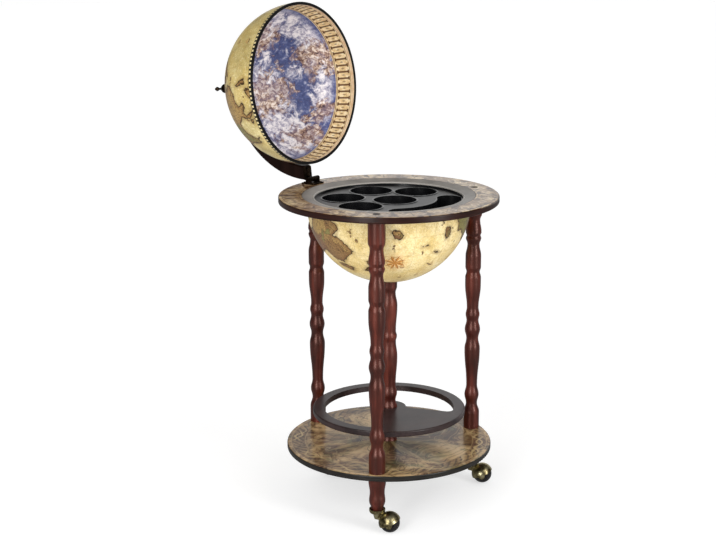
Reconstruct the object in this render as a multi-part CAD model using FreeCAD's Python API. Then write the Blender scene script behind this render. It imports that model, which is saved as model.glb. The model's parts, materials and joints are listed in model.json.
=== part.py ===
import FreeCAD
import Part
import math
import os

# Floor globe bar: a three-legged stand on casters with a shelf, a bottle rack and a table ring, and a globe
# whose upper half swings open on a quarter-circle meridian arm.
# Millimetres. The floor is z = 0, the axis of the globe is x = y = 0 and the hinge is on the +Y side.

Vector = FreeCAD.Vector
ORIGIN = Vector(0, 0, 0)
UP = Vector(0, 0, 1)
ALONG_X = Vector(1, 0, 0)
ALONG_Y = Vector(0, 1, 0)

# Stand, from the floor up
FOOT_LENGTH = 72.0
SHELF_THICKNESS = 12.0
SHELF_OVERHANG = 21.0  # past the circle of the legs
LEG_FROM_GLOBE = 25.0  # the circle of the legs outside the globe
LEG_LENGTH = 505.0
RING_THICKNESS = 13.0
RING_OVERHANG = 24.0  # past the hinge axis
BOARD_ROUND = 2.5  # rounded rims of the shelf, the rack and the ring
LEG_ANGLES = {"back": 90.0, "left": 210.0, "right": 330.0}

# Turned legs: plain blocks at both ends, crests and hollows between them as (share of the way up, radius)
LEG_BASE_LENGTH = 34.0
LEG_BASE_RADIUS = 16.4
LEG_HEAD_LENGTH = 42.0
LEG_HEAD_RADIUS = 17.0
LEG_TURNING = [
    (0.047, 11.7), (0.092, 15.0), (0.140, 11.4), (0.326, 16.1), (0.379, 12.5), (0.425, 16.0), (0.470, 12.5),
    (0.500, 14.5), (0.533, 12.2), (0.651, 16.4), (0.686, 16.4), (0.713, 13.8), (0.737, 16.2), (0.791, 16.2),
    (0.850, 12.5), (0.881, 15.9), (0.892, 14.3), (0.909, 16.3), (0.970, 13.2),
]
FOOT_HEAD_RADIUS = 17.3
FOOT_TIP_RADIUS = 9.8
FOOT_TURNING = [(0.06, 12.0), (0.10, 12.0), (0.356, 16.1), (0.585, 14.7), (0.926, 17.3)]
OGEE_PULL = 0.42  # how far each end of an ogee keeps running along the axis, as a share of its length
DIAGONAL = math.sqrt(0.5)  # either part of a unit length that points half way between two axes

# Centre column and bottle rack
COLUMN_END_RADIUS = 17.5
COLUMN_LOWER_LENGTH = 60.0
COLUMN_LOWER_TURNING = [(0.22, 13.5), (0.50, 17.0), (0.78, 13.5)]
COLUMN_UPPER_TURNING = [
    (0.05, 14.0), (0.11, 17.0), (0.17, 14.2), (0.40, 17.6), (0.52, 14.6), (0.56, 16.8), (0.60, 14.6),
    (0.80, 17.6), (0.90, 14.0), (0.95, 17.0),
]
RACK_TO_LEGS = 33.0  # rim of the rack inside the circle of the legs
RACK_RIM_WIDTH = 23.0
RACK_HUB_RADIUS = 35.0
RACK_THICKNESS = 12.0
RACK_SPOKE_FROM = 206.0  # the one solid sector that carries the rim, in degrees about the axis
RACK_SPOKE_TO = 291.0
RACK_CORNER = 12.0

# Globe: bowl, lid and what is in them
GLOBE_RADIUS = 165.0
BOWL_WALL = 3.5
BOWL_DROP = 11.6  # centre of the bowl below the top of the ring
BOWL_FLANGE_WIDTH = 7.5
BOWL_FLANGE_THICKNESS = 2.0
BOWL_PLAY = 0.5  # between the bowl and the hole of the ring
LID_WALL = 2.5
LID_LINING = 1.2
LID_PLAY = 0.1  # between the lid and its lining
LID_CENTRE_RISE = 2.0  # centre of the closed lid above the top of the ring
LID_SEAT_GAP = 0.8  # closed rim above the top of the ring
LID_RIM_HEIGHT = 2.0
LID_RIM_PROUD = 0.6
LID_RIM_LIP = 6.5  # how far the lip of the rim stands up inside the lining
LID_RIM_LIP_WALL = 1.2

# Bar liner: a moulded tray in the bowl
LINER_FLANGE_LAP = 1.5  # past the flange of the bowl
LINER_FLANGE_WALL = 1.5
LINER_RIM_HEIGHT = 4.0  # outer edge of the flange, which stands on the flange of the bowl
LINER_SLOPE = 4.8  # inner edge of the flange below the top of the ring
LINER_PLAY = 0.5
LINER_INSET = 16.0  # wall of the tray inside the globe
LINER_WALL = 2.0
LINER_BEAD = 1.4  # radius of the raised bead round the opening
DECK_DROP = 10.0  # deck below the top of the ring
BOTTLE_WELL_RADIUS = 43.0
WELL_TO_WALL = 14.0  # outer wells from the wall of the tray
WELL_ARC = 180.0  # at the back, for the centres of the outer wells, in degrees
WELL_GAP = 0.4  # between the lips of neighbouring wells
MIDDLE_WELL_Y = -16.0
WELL_TO_BOWL = 4.0  # outer edge of a well's floor from the bowl
TROUGH_TO_WALL = 3.5
TROUGH_WIDTH = 48.5
TROUGH_MIDDLE = -90.0  # way the trough faces, in degrees about the axis
TROUGH_HALF_ANGLE = 42.0  # to the centre of each round end
TROUGH_DEPTH = 46.0
POCKET_ROUND = 6.0  # floor corners of the wells and the trough
POCKET_PLAY = 0.1  # round the wells and the trough in the deck
POCKET_LIP = 0.8  # lips of the wells and the trough past their walls
POCKET_LIP_THICKNESS = 1.0

# Meridian arm, hinge and pole
LID_OPEN = 97.0  # opening angle of the lid as the bar stands
HINGE_INSET = 2.0  # hinge axis inside the outer edge of the arm
HINGE_PIN_RADIUS = 2.5
KNUCKLE_RADIUS = 5.0
KNUCKLE_HALF = 8.5  # half length of the knuckle on the arm's leaf
KNUCKLE_GAP = 0.5
KNUCKLE_LIFT = 2.0  # knuckles above the base plate
LUG_WIDTH = 8.0
HINGE_PLATE = 2.5
HINGE_MARGIN = 2.0  # round the screw heads on the base plate
LEAF_PLATE = 3.0
ARM_STAND_OFF = 13.5  # end face of the arm from the hinge axis
ARM_WIDTH = 24.0
ARM_GAP = 5.0  # between the lid and the arm
ARM_DEPTH = 29.0
ARM_ROUND = 3.0
LEAF_MARGIN = 1.0
POLE_BOLT_RADIUS = 3.0
POLE_SPACER_RADIUS = 10.0
POLE_SEAT_DEPTH = 1.0  # flats cut in the arm for the spacer and the finial
POLE_WASHER_RADIUS = 10.0
POLE_WASHER_THICKNESS = 1.0
POLE_HEAD_RADIUS = 7.0
POLE_HEAD_HEIGHT = 3.0
POLE_GAP = 0.3
FINIAL_HEIGHT = 56.0
FINIAL_BASE_RADIUS = 11.5
FINIAL_TIP_RADIUS = 2.4
FINIAL_TURNING = [
    (0.08, 11.5), (0.16, 8.5), (0.50, 9.8), (0.74, 2.3), (0.80, 2.2), (0.915, 4.7),
]
FINIAL_BORE_DEPTH = 20.0

# Casters
WHEEL_RADIUS = 20.0
WHEEL_HALF_WIDTH = 15.0
WHEEL_DISH_RADIUS = 10.0
WHEEL_DISH_DEPTH = 2.0
CASTER_TRAIL = 25.0
CASTER_HEADING = -60.0  # way the casters trail as the bar stands, in degrees about the vertical
HOOD_GAP = 0.8
HOOD_WALL = 1.7
HOOD_TILT = 24.0
EAR_RADIUS = 6.5
EAR_GAP = 0.6
NECK_TOP_RADIUS = 9.0
NECK_TIP_RADIUS = 5.5
NECK_LENGTH = 11.5
CUP_RADIUS = 16.0
CUP_DROP = 4.0  # underside of the cup below the top of the hood
CUP_WALL = 1.5
CUP_ROUND = 6.0
CUP_DEPTH = 9.5
SWIVEL_GAP = 0.3
STEM_RADIUS = 4.5
STEM_IN_NECK = 9.0
SLEEVE_WALL = 1.2
SLEEVE_LENGTH = 27.0
AXLE_RADIUS = 2.5
AXLE_HEAD_RADIUS = 4.0
AXLE_HEAD_HEIGHT = 1.0

# Fasteners and fits
RUNNING_FIT = 0.05  # radial, between a pin and what turns on it
SNUG_FIT = 0.02  # radial, between a pin and what holds it
BORE_PLAY = 0.1  # radial, round rods, studs and bolts
STUD_RADIUS = 4.0
STUD_IN_LEG = 30.0
STUD_TO_SLEEVE = 7.0  # wood left between a stud and a caster sleeve
LEG_BOLT_RADIUS = 3.0
LEG_BOLT_IN_LEG = 35.0
LEG_BOLT_HEAD_RADIUS = 6.0
LEG_BOLT_HEAD_HEIGHT = 3.5
CAP_RADIUS = 8.0
CAP_THICKNESS = 2.5
CAP_PLAY = 0.1
ROD_RADIUS = 4.0
ROD_IN_COLUMN = 50.0
ROD_WASHER_RADIUS = 12.0
ROD_WASHER_THICKNESS = 1.5
ROD_NUT_SIDES = 6
ROD_NUT_RADIUS = 7.5  # to the corners
ROD_NUT_HEIGHT = 6.5
ROD_TAIL = 2.0
BOWL_SCREW_COUNT = 6
BOWL_SCREW_FROM = 30.0  # angle of the first screw
BOWL_SCREW_BITE = 5.0  # length in the ring
HEAD_ROUND = 0.6  # rounding of a domed head, as a share of its height
SMALL_SCREW_RADIUS = 1.75
SMALL_SCREW_LENGTH = 7.0
SMALL_HEAD_RADIUS = 3.4
SMALL_HEAD_HEIGHT = 1.5
SEAT_SCREW_RADIUS = 2.5
SEAT_SCREW_LENGTH = 34.0
SEAT_HEAD_RADIUS = 5.0
SEAT_HEAD_HEIGHT = 3.0
COLUMN_PLAY = 0.05  # between the column and the bowl
LEAF_SCREW_SPACING = 11.0

# Radii, heights and places that follow
LEG_CIRCLE = GLOBE_RADIUS + LEG_FROM_GLOBE
SHELF_RADIUS = LEG_CIRCLE + SHELF_OVERHANG
RACK_RADIUS = LEG_CIRCLE - RACK_TO_LEGS
ARM_INNER = GLOBE_RADIUS + ARM_GAP
ARM_OUTER = ARM_INNER + ARM_DEPTH
HINGE_Y = ARM_OUTER - HINGE_INSET
RING_RADIUS = HINGE_Y + RING_OVERHANG
REACH = 3 * (RING_RADIUS + GLOBE_RADIUS)  # longer than anything it cuts
HOOD_INNER = WHEEL_RADIUS + HOOD_GAP
HOOD_OUTER = HOOD_INNER + HOOD_WALL
EAR_INNER = WHEEL_HALF_WIDTH + EAR_GAP
CASTER_HEIGHT = WHEEL_RADIUS + HOOD_OUTER - CUP_DROP
NECK_TOP = CASTER_HEIGHT - SWIVEL_GAP
FOOT_Z = CASTER_HEIGHT + CUP_WALL
SHELF_Z = FOOT_Z + FOOT_LENGTH
SHELF_TOP = SHELF_Z + SHELF_THICKNESS
RING_Z = SHELF_TOP + LEG_LENGTH
RING_TOP = RING_Z + RING_THICKNESS
RACK_Z = SHELF_TOP + COLUMN_LOWER_LENGTH
RACK_TOP = RACK_Z + RACK_THICKNESS
BOWL_Z = RING_TOP - BOWL_DROP
BOWL_BOTTOM = BOWL_Z - GLOBE_RADIUS
BOWL_INNER = GLOBE_RADIUS - BOWL_WALL
BOWL_FLANGE_RADIUS = GLOBE_RADIUS + BOWL_FLANGE_WIDTH
LINER_Z = RING_TOP - LINER_RIM_HEIGHT
REBATE_Z = LINER_Z - BOWL_FLANGE_THICKNESS
LINER_FLANGE_RADIUS = BOWL_FLANGE_RADIUS + LINER_FLANGE_LAP
LINER_OPENING_RADIUS = GLOBE_RADIUS - LINER_INSET
DECK_Z = RING_TOP - DECK_DROP
WELL_CIRCLE = LINER_OPENING_RADIUS - WELL_TO_WALL - BOTTLE_WELL_RADIUS
WELL_PITCH = 2 * (BOTTLE_WELL_RADIUS + LINER_WALL + POCKET_LIP) + WELL_GAP
WELL_FAR = WELL_CIRCLE + BOTTLE_WELL_RADIUS + LINER_WALL
WELL_FLOOR = BOWL_Z - math.sqrt((BOWL_INNER - WELL_TO_BOWL) ** 2 - WELL_FAR**2) + LINER_WALL
TROUGH_OUTER_RADIUS = LINER_OPENING_RADIUS - TROUGH_TO_WALL
TROUGH_INNER_RADIUS = TROUGH_OUTER_RADIUS - TROUGH_WIDTH
LID_Z = RING_TOP + LID_CENTRE_RISE
LID_RIM_Z = RING_TOP + LID_SEAT_GAP
LINING_INNER = GLOBE_RADIUS - LID_WALL - LID_PLAY - LID_LINING
BASE_TOP = RING_TOP + HINGE_PLATE
HINGE_Z = BASE_TOP + KNUCKLE_LIFT + KNUCKLE_RADIUS
HINGE_SCREW_ROW = KNUCKLE_RADIUS + HINGE_MARGIN + SMALL_HEAD_RADIUS
HINGE_BASE_REACH = HINGE_SCREW_ROW + SMALL_HEAD_RADIUS + HINGE_MARGIN
HINGE_BASE_HALF = KNUCKLE_HALF + KNUCKLE_GAP + LUG_WIDTH
HINGE_SCREW_X = HINGE_BASE_HALF - HINGE_MARGIN - SMALL_HEAD_RADIUS
ARM_END_Z = HINGE_Z + ARM_STAND_OFF
SPACER_TOP = LID_Z + ARM_INNER + POLE_SEAT_DEPTH
FINIAL_Z = LID_Z + ARM_OUTER - POLE_SEAT_DEPTH


def cylinder(radius, low, high, x=0.0, y=0.0):
    return Part.makeCylinder(radius, high - low, Vector(x, y, low), UP)


def bar(radius, low, high, y=0.0, z=0.0):
    """Cylinder along X."""
    return Part.makeCylinder(radius, high - low, Vector(low, y, z), ALONG_X)


def block(low, high):
    return Part.makeBox(*(high - low), low)


def line(start, end):
    return Part.LineSegment(start, end).toShape()


def ogee(start, end):
    """Edge between a crest and a hollow of a turned profile, along the axis at both ends."""
    if start.x == end.x:
        return line(start, end)
    pull = UP * ((end.z - start.z) * OGEE_PULL)
    curve = Part.BezierCurve()
    curve.setPoles([start, start + pull, end - pull, end])
    return curve.toShape()


def spun(edges):
    """Solid swept about Z by a closed profile in the XZ plane."""
    return Part.Face(Part.Wire(edges)).revolve(ORIGIN, UP, 360)


def spun_polygon(corners):
    points = [Vector(radius, 0, z) for radius, z in corners]
    return spun([line(a, b) for a, b in zip(points, points[1:] + points[:1])])


def turned(stations):
    """Turned piece through (height, radius) stations from the bottom up."""
    points = [Vector(radius, 0, z) for z, radius in stations]
    foot = Vector(0, 0, points[0].z)
    head = Vector(0, 0, points[-1].z)
    sides = [ogee(a, b) for a, b in zip(points, points[1:])]
    return spun([line(foot, points[0])] + sides + [line(points[-1], head), line(head, foot)])


def stations(low, length, turning):
    return [(low + length * share, radius) for share, radius in turning]


def rounded_disc(radius, low, high):
    disc = cylinder(radius, low, high)
    return disc.makeFillet(BOARD_ROUND, [e for e in disc.Edges if e.Closed])


def pan_screw(shank, length, head, head_height):
    """Screw pointing down, with the underside of its domed head at the origin."""
    dome = cylinder(head, 0, head_height)
    rim = [e for e in dome.Edges if e.Closed and e.BoundBox.ZMin > 0]
    dome = dome.makeFillet(HEAD_ROUND * head_height, rim)
    return dome.fuse(cylinder(shank, -length, 0)).removeSplitter()


def moved(shape, x=0.0, y=0.0, z=0.0):
    copy = shape.copy()
    copy.translate(Vector(x, y, z))
    return copy


def opened(shape):
    """A piece of the lid or its arm, built closed, as it stands with the lid open."""
    copy = shape.copy()
    copy.rotate(Vector(0, HINGE_Y, HINGE_Z), ALONG_X, -LID_OPEN)
    return copy


def leg_place(angle):
    return LEG_CIRCLE * math.cos(math.radians(angle)), LEG_CIRCLE * math.sin(math.radians(angle))


LEG_PLACES = {side: leg_place(angle) for side, angle in LEG_ANGLES.items()}


def at_legs(shape):
    return Part.makeCompound([moved(shape, x, y) for x, y in LEG_PLACES.values()])


# Stand
def bottom_shelf():
    shelf = rounded_disc(SHELF_RADIUS, SHELF_Z, SHELF_TOP)
    shelf = shelf.cut(cylinder(ROD_RADIUS + BORE_PLAY, SHELF_Z, SHELF_TOP))
    return shelf.cut(at_legs(cylinder(STUD_RADIUS + BORE_PLAY, SHELF_Z, SHELF_TOP)))


def leg():
    turned_low = SHELF_TOP + LEG_BASE_LENGTH
    turned_length = LEG_LENGTH - LEG_BASE_LENGTH - LEG_HEAD_LENGTH
    points = [(SHELF_TOP, LEG_BASE_RADIUS), (turned_low, LEG_BASE_RADIUS)]
    points += stations(turned_low, turned_length, LEG_TURNING)
    points += [(RING_Z - LEG_HEAD_LENGTH, LEG_HEAD_RADIUS), (RING_Z, LEG_HEAD_RADIUS)]
    body = turned(points)
    body = body.cut(cylinder(STUD_RADIUS + BORE_PLAY, SHELF_TOP, SHELF_TOP + STUD_IN_LEG))
    return body.cut(cylinder(LEG_BOLT_RADIUS + BORE_PLAY, RING_Z - LEG_BOLT_IN_LEG, RING_Z))


def foot():
    points = [(FOOT_Z, FOOT_TIP_RADIUS)] + stations(FOOT_Z, FOOT_LENGTH, FOOT_TURNING)
    points += [(SHELF_Z, FOOT_HEAD_RADIUS)]
    sleeve = STEM_RADIUS + RUNNING_FIT + SLEEVE_WALL
    body = turned(points)
    body = body.cut(cylinder(sleeve + SNUG_FIT, FOOT_Z, FOOT_Z + SLEEVE_LENGTH))
    return body.cut(cylinder(STUD_RADIUS + BORE_PLAY, FOOT_Z + SLEEVE_LENGTH + STUD_TO_SLEEVE, SHELF_Z))


def leg_studs():
    low = FOOT_Z + SLEEVE_LENGTH + STUD_TO_SLEEVE
    return at_legs(cylinder(STUD_RADIUS, low, SHELF_TOP + STUD_IN_LEG))


def leg_bolts():
    seat = RING_TOP - CAP_THICKNESS - LEG_BOLT_HEAD_HEIGHT
    head = cylinder(LEG_BOLT_HEAD_RADIUS, seat, seat + LEG_BOLT_HEAD_HEIGHT)
    return at_legs(head.fuse(cylinder(LEG_BOLT_RADIUS, RING_Z - LEG_BOLT_IN_LEG, seat)).removeSplitter())


def bolt_caps():
    return at_legs(cylinder(CAP_RADIUS - CAP_PLAY, RING_TOP - CAP_THICKNESS, RING_TOP))


def table_ring():
    ring = rounded_disc(RING_RADIUS, RING_Z, RING_TOP)
    ring = ring.cut(cylinder(GLOBE_RADIUS + BOWL_PLAY, RING_Z, RING_TOP))
    ring = ring.cut(cylinder(LINER_FLANGE_RADIUS + LINER_PLAY, REBATE_Z, RING_TOP))
    seat = RING_TOP - CAP_THICKNESS - LEG_BOLT_HEAD_HEIGHT
    ring = ring.cut(at_legs(cylinder(CAP_RADIUS, seat, RING_TOP)))
    ring = ring.cut(at_legs(cylinder(LEG_BOLT_RADIUS + BORE_PLAY, RING_Z, seat)))
    pilot = SMALL_SCREW_RADIUS + SNUG_FIT
    for x, y in bowl_screw_places():
        ring = ring.cut(cylinder(pilot, REBATE_Z - BOWL_SCREW_BITE, REBATE_Z, x, y))
    for x, y in hinge_screw_places():
        ring = ring.cut(cylinder(pilot, BASE_TOP - SMALL_SCREW_LENGTH, RING_TOP, x, y))
    return ring


# Centre column and rack
def column_lower():
    points = [(SHELF_TOP, COLUMN_END_RADIUS)]
    points += stations(SHELF_TOP, COLUMN_LOWER_LENGTH, COLUMN_LOWER_TURNING)
    points += [(RACK_Z, COLUMN_END_RADIUS)]
    return turned(points).cut(cylinder(ROD_RADIUS + BORE_PLAY, SHELF_TOP, RACK_Z))


def column_upper():
    """Upper column with a hollow top that cups the bowl."""
    rise = GLOBE_RADIUS - math.sqrt(GLOBE_RADIUS**2 - COLUMN_END_RADIUS**2)
    top = BOWL_BOTTOM + rise
    points = [(RACK_TOP, COLUMN_END_RADIUS)] + stations(RACK_TOP, top - RACK_TOP, COLUMN_UPPER_TURNING)
    points += [(top, COLUMN_END_RADIUS)]
    body = turned(points).cut(Part.makeSphere(GLOBE_RADIUS + COLUMN_PLAY, Vector(0, 0, BOWL_Z)))
    body = body.cut(cylinder(ROD_RADIUS + BORE_PLAY, RACK_TOP, RACK_TOP + ROD_IN_COLUMN))
    low = seat_screw_z() - SEAT_SCREW_LENGTH
    return body.cut(cylinder(SEAT_SCREW_RADIUS + SNUG_FIT, low, top))


def bottle_rack():
    """Ring-shaped rack with one wide spoke: bottles stand in the C-shaped opening between hub and rim."""
    rack = rounded_disc(RACK_RADIUS, RACK_Z, RACK_TOP)
    inner = Vector(RACK_HUB_RADIUS, 0, RACK_Z)
    outer = Vector(RACK_RADIUS - RACK_RIM_WIDTH, 0, RACK_Z)
    rise = Vector(0, 0, RACK_THICKNESS)
    section = Part.Face(Part.makePolygon([inner, outer, outer + rise, inner + rise, inner]))
    opening = section.revolve(ORIGIN, UP, 360 - (RACK_SPOKE_TO - RACK_SPOKE_FROM))
    corners = [e for e in opening.Edges if e.BoundBox.ZLength > RACK_THICKNESS / 2]
    opening = opening.makeFillet(RACK_CORNER, corners)
    opening.rotate(ORIGIN, UP, RACK_SPOKE_TO)
    return rack.cut(opening).cut(cylinder(ROD_RADIUS + BORE_PLAY, RACK_Z, RACK_TOP))


def column_rod():
    low = SHELF_Z - ROD_WASHER_THICKNESS - ROD_NUT_HEIGHT - ROD_TAIL
    return cylinder(ROD_RADIUS, low, RACK_TOP + ROD_IN_COLUMN)


def rod_washer():
    low = SHELF_Z - ROD_WASHER_THICKNESS
    return cylinder(ROD_WASHER_RADIUS, low, SHELF_Z).cut(cylinder(ROD_RADIUS + BORE_PLAY, low, SHELF_Z))


def rod_nut():
    top = SHELF_Z - ROD_WASHER_THICKNESS
    low = top - ROD_NUT_HEIGHT
    turns = [math.tau * i / ROD_NUT_SIDES for i in range(ROD_NUT_SIDES + 1)]
    corners = [Vector(ROD_NUT_RADIUS * math.cos(a), ROD_NUT_RADIUS * math.sin(a), low) for a in turns]
    hexagon = Part.Face(Part.makePolygon(corners)).extrude(Vector(0, 0, ROD_NUT_HEIGHT))
    return hexagon.cut(cylinder(ROD_RADIUS + SNUG_FIT, low, top))


# Bowl and liner
def bowl_screw_places():
    radius = GLOBE_RADIUS + BOWL_FLANGE_WIDTH / 2
    first = math.radians(BOWL_SCREW_FROM)
    turns = [first + math.tau * i / BOWL_SCREW_COUNT for i in range(BOWL_SCREW_COUNT)]
    return [(radius * math.cos(a), radius * math.sin(a)) for a in turns]


def bowl_shell():
    """Hemisphere with a short collar up the hole of the ring and a flange that hangs in its rebate."""
    low_out = Vector(0, 0, BOWL_Z - GLOBE_RADIUS)
    low_in = Vector(0, 0, BOWL_Z - BOWL_INNER)
    side_out = Vector(GLOBE_RADIUS, 0, BOWL_Z)
    side_in = Vector(BOWL_INNER, 0, BOWL_Z)
    corners = [
        side_out, Vector(GLOBE_RADIUS, 0, REBATE_Z), Vector(BOWL_FLANGE_RADIUS, 0, REBATE_Z),
        Vector(BOWL_FLANGE_RADIUS, 0, LINER_Z), Vector(BOWL_INNER, 0, LINER_Z), side_in,
    ]
    middle_out = Vector(GLOBE_RADIUS * DIAGONAL, 0, BOWL_Z - GLOBE_RADIUS * DIAGONAL)
    middle_in = Vector(BOWL_INNER * DIAGONAL, 0, BOWL_Z - BOWL_INNER * DIAGONAL)
    edges = [Part.Arc(low_out, middle_out, side_out).toShape()]
    edges += [line(a, b) for a, b in zip(corners, corners[1:])]
    edges += [Part.Arc(side_in, middle_in, low_in).toShape(), line(low_in, low_out)]
    bowl = spun(edges).cut(cylinder(SEAT_SCREW_RADIUS + BORE_PLAY, RACK_TOP, BOWL_Z))
    for x, y in bowl_screw_places():
        bowl = bowl.cut(moved(countersunk_screw(BORE_PLAY), x, y, LINER_Z))
    return bowl


def countersunk_screw(grow=0.0):
    """Screw pointing down with its flat head flush at the origin, all its radii larger by grow."""
    shank = SMALL_SCREW_RADIUS + grow
    head = shank + SMALL_HEAD_HEIGHT
    tip = -BOWL_FLANGE_THICKNESS - BOWL_SCREW_BITE
    return spun_polygon([(0, 0), (head, 0), (shank, -SMALL_HEAD_HEIGHT), (shank, tip), (0, tip)])


def bowl_screws():
    return Part.makeCompound([moved(countersunk_screw(), x, y, LINER_Z) for x, y in bowl_screw_places()])


def seat_screw_z():
    """Underside of the head, whose edge rests on the round inside of the bowl."""
    return BOWL_Z - math.sqrt(BOWL_INNER**2 - SEAT_HEAD_RADIUS**2)


def bowl_seat_screw():
    screw = pan_screw(SEAT_SCREW_RADIUS, SEAT_SCREW_LENGTH, SEAT_HEAD_RADIUS, SEAT_HEAD_HEIGHT)
    return moved(screw, z=seat_screw_z())


def pocket(shape, rounding):
    """A prism for a well or trough with rounded floor corners."""
    floor = shape.BoundBox.ZMin
    return shape.makeFillet(rounding, [e for e in shape.Edges if e.BoundBox.ZMax < floor + rounding])


def trough_prism(grow, low, high):
    """Curved slot at the front of the liner, wider by grow on every side."""
    inner = TROUGH_INNER_RADIUS - grow
    outer = TROUGH_OUTER_RADIUS + grow
    middle = (inner + outer) / 2
    end_radius = (outer - inner) / 2
    start = math.radians(TROUGH_MIDDLE - TROUGH_HALF_ANGLE)
    stop = math.radians(TROUGH_MIDDLE + TROUGH_HALF_ANGLE)
    front = math.radians(TROUGH_MIDDLE)

    def at(radius, angle, ahead=0.0):
        x = radius * math.cos(angle) - ahead * math.sin(angle)
        return Vector(x, radius * math.sin(angle) + ahead * math.cos(angle), low)

    arcs = [
        Part.Arc(at(outer, start), at(outer, front), at(outer, stop)),
        Part.Arc(at(outer, stop), at(middle, stop, end_radius), at(inner, stop)),
        Part.Arc(at(inner, stop), at(inner, front), at(inner, start)),
        Part.Arc(at(inner, start), at(middle, start, -end_radius), at(outer, start)),
    ]
    return Part.Face(Part.Wire([a.toShape() for a in arcs])).extrude(Vector(0, 0, high - low))


def well_places():
    """As many wells side by side as the arc at the back takes, and one in the middle where it clears them."""
    step = 2 * math.degrees(math.asin(WELL_PITCH / (2 * WELL_CIRCLE)))
    count = math.floor(round(WELL_ARC / step, 6)) + 1
    turns = [math.radians(90 + step * (i - (count - 1) / 2)) for i in range(count)]
    places = [(WELL_CIRCLE * math.cos(a), WELL_CIRCLE * math.sin(a)) for a in turns]
    middle = (0.0, MIDDLE_WELL_Y)
    room = min(math.dist(middle, place) for place in places)
    return [middle] + places if room >= WELL_PITCH else places


def well_prism(grow, low, high):
    return cylinder(BOTTLE_WELL_RADIUS + grow, low, high)


def hung_pocket(prism, floor):
    """Thin-walled well or trough that hangs in a hole of the deck by its lip."""
    top = DECK_Z + POCKET_LIP_THICKNESS
    outside = pocket(prism(LINER_WALL, floor - LINER_WALL, DECK_Z), POCKET_ROUND + LINER_WALL)
    outside = outside.fuse(prism(LINER_WALL + POCKET_LIP, DECK_Z, top))
    return outside.cut(pocket(prism(0.0, floor, top), POCKET_ROUND)).removeSplitter()


def bottle_wells():
    well = hung_pocket(well_prism, WELL_FLOOR)
    return Part.makeCompound([moved(well, x, y) for x, y in well_places()])


def liner_trough():
    return hung_pocket(trough_prism, DECK_Z - TROUGH_DEPTH)


def liner_deck():
    """Sunk floor of the tray, with holes for its pockets."""
    deck = cylinder(LINER_OPENING_RADIUS + LINER_WALL, DECK_Z - LINER_WALL, DECK_Z)
    hole = well_prism(LINER_WALL + POCKET_PLAY, DECK_Z - LINER_WALL, DECK_Z)
    holes = [moved(hole, x, y) for x, y in well_places()]
    holes.append(trough_prism(LINER_WALL + POCKET_PLAY, DECK_Z - LINER_WALL, DECK_Z))
    return deck.cut(holes)


def bar_liner():
    """Frame of the tray: a sloping flange in the ring's rebate, a bead and a wall down to the deck."""
    lip = RING_TOP - LINER_SLOPE
    under = RING_TOP - LINER_FLANGE_WALL
    flange = spun_polygon([
        (LINER_OPENING_RADIUS, lip), (LINER_FLANGE_RADIUS, RING_TOP), (LINER_FLANGE_RADIUS, under),
        (LINER_OPENING_RADIUS, lip - LINER_FLANGE_WALL),
    ])
    skirt = cylinder(LINER_FLANGE_RADIUS, LINER_Z, under)
    skirt = skirt.cut(cylinder(LINER_FLANGE_RADIUS - LINER_FLANGE_WALL, LINER_Z, under))
    bead = Part.makeTorus(LINER_OPENING_RADIUS + LINER_BEAD, LINER_BEAD, Vector(0, 0, lip))
    outside = cylinder(LINER_OPENING_RADIUS + LINER_WALL, DECK_Z, lip)
    outside = outside.fuse([flange, skirt, bead])
    return outside.cut(cylinder(LINER_OPENING_RADIUS, DECK_Z, RING_TOP)).removeSplitter()


# Hinge
def hinge_screw_places():
    rows = (HINGE_Y - HINGE_SCREW_ROW, HINGE_Y + HINGE_SCREW_ROW)
    return [(x, y) for y in rows for x in (-HINGE_SCREW_X, HINGE_SCREW_X)]


def hinge_base():
    """Plate on the ring with two lugs that hold the pin."""
    low = Vector(-HINGE_BASE_HALF, HINGE_Y - HINGE_BASE_REACH, RING_TOP)
    base = block(low, Vector(HINGE_BASE_HALF, HINGE_Y + HINGE_BASE_REACH, BASE_TOP))
    near = KNUCKLE_HALF + KNUCKLE_GAP
    for x in (near, -near - LUG_WIDTH):
        cheek_low = Vector(x, HINGE_Y - KNUCKLE_RADIUS, BASE_TOP)
        cheek = block(cheek_low, Vector(x + LUG_WIDTH, HINGE_Y + KNUCKLE_RADIUS, HINGE_Z))
        base = base.fuse([cheek, bar(KNUCKLE_RADIUS, x, x + LUG_WIDTH, HINGE_Y, HINGE_Z)])
    base = base.cut(bar(HINGE_PIN_RADIUS + SNUG_FIT, -REACH, REACH, HINGE_Y, HINGE_Z))
    for x, y in hinge_screw_places():
        base = base.cut(cylinder(SMALL_SCREW_RADIUS + BORE_PLAY, RING_TOP, BASE_TOP, x, y))
    return base.removeSplitter()


def hinge_pin():
    pin = bar(HINGE_PIN_RADIUS, -HINGE_BASE_HALF, HINGE_BASE_HALF, HINGE_Y, HINGE_Z)
    heads = [
        bar(HINGE_PIN_RADIUS + SMALL_HEAD_HEIGHT, x, x + SMALL_HEAD_HEIGHT, HINGE_Y, HINGE_Z)
        for x in (-HINGE_BASE_HALF - SMALL_HEAD_HEIGHT, HINGE_BASE_HALF)
    ]
    return pin.fuse(heads).removeSplitter()


def hinge_base_screws():
    screw = pan_screw(SMALL_SCREW_RADIUS, SMALL_SCREW_LENGTH, SMALL_HEAD_RADIUS, SMALL_HEAD_HEIGHT)
    return Part.makeCompound([moved(screw, x, y, BASE_TOP) for x, y in hinge_screw_places()])


def leaf_screw_places():
    middle = (ARM_INNER + LEAF_MARGIN + HINGE_Y - LEAF_PLATE / 2) / 2
    return [(0.0, middle - LEAF_SCREW_SPACING / 2), (0.0, middle + LEAF_SCREW_SPACING / 2)]


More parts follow.
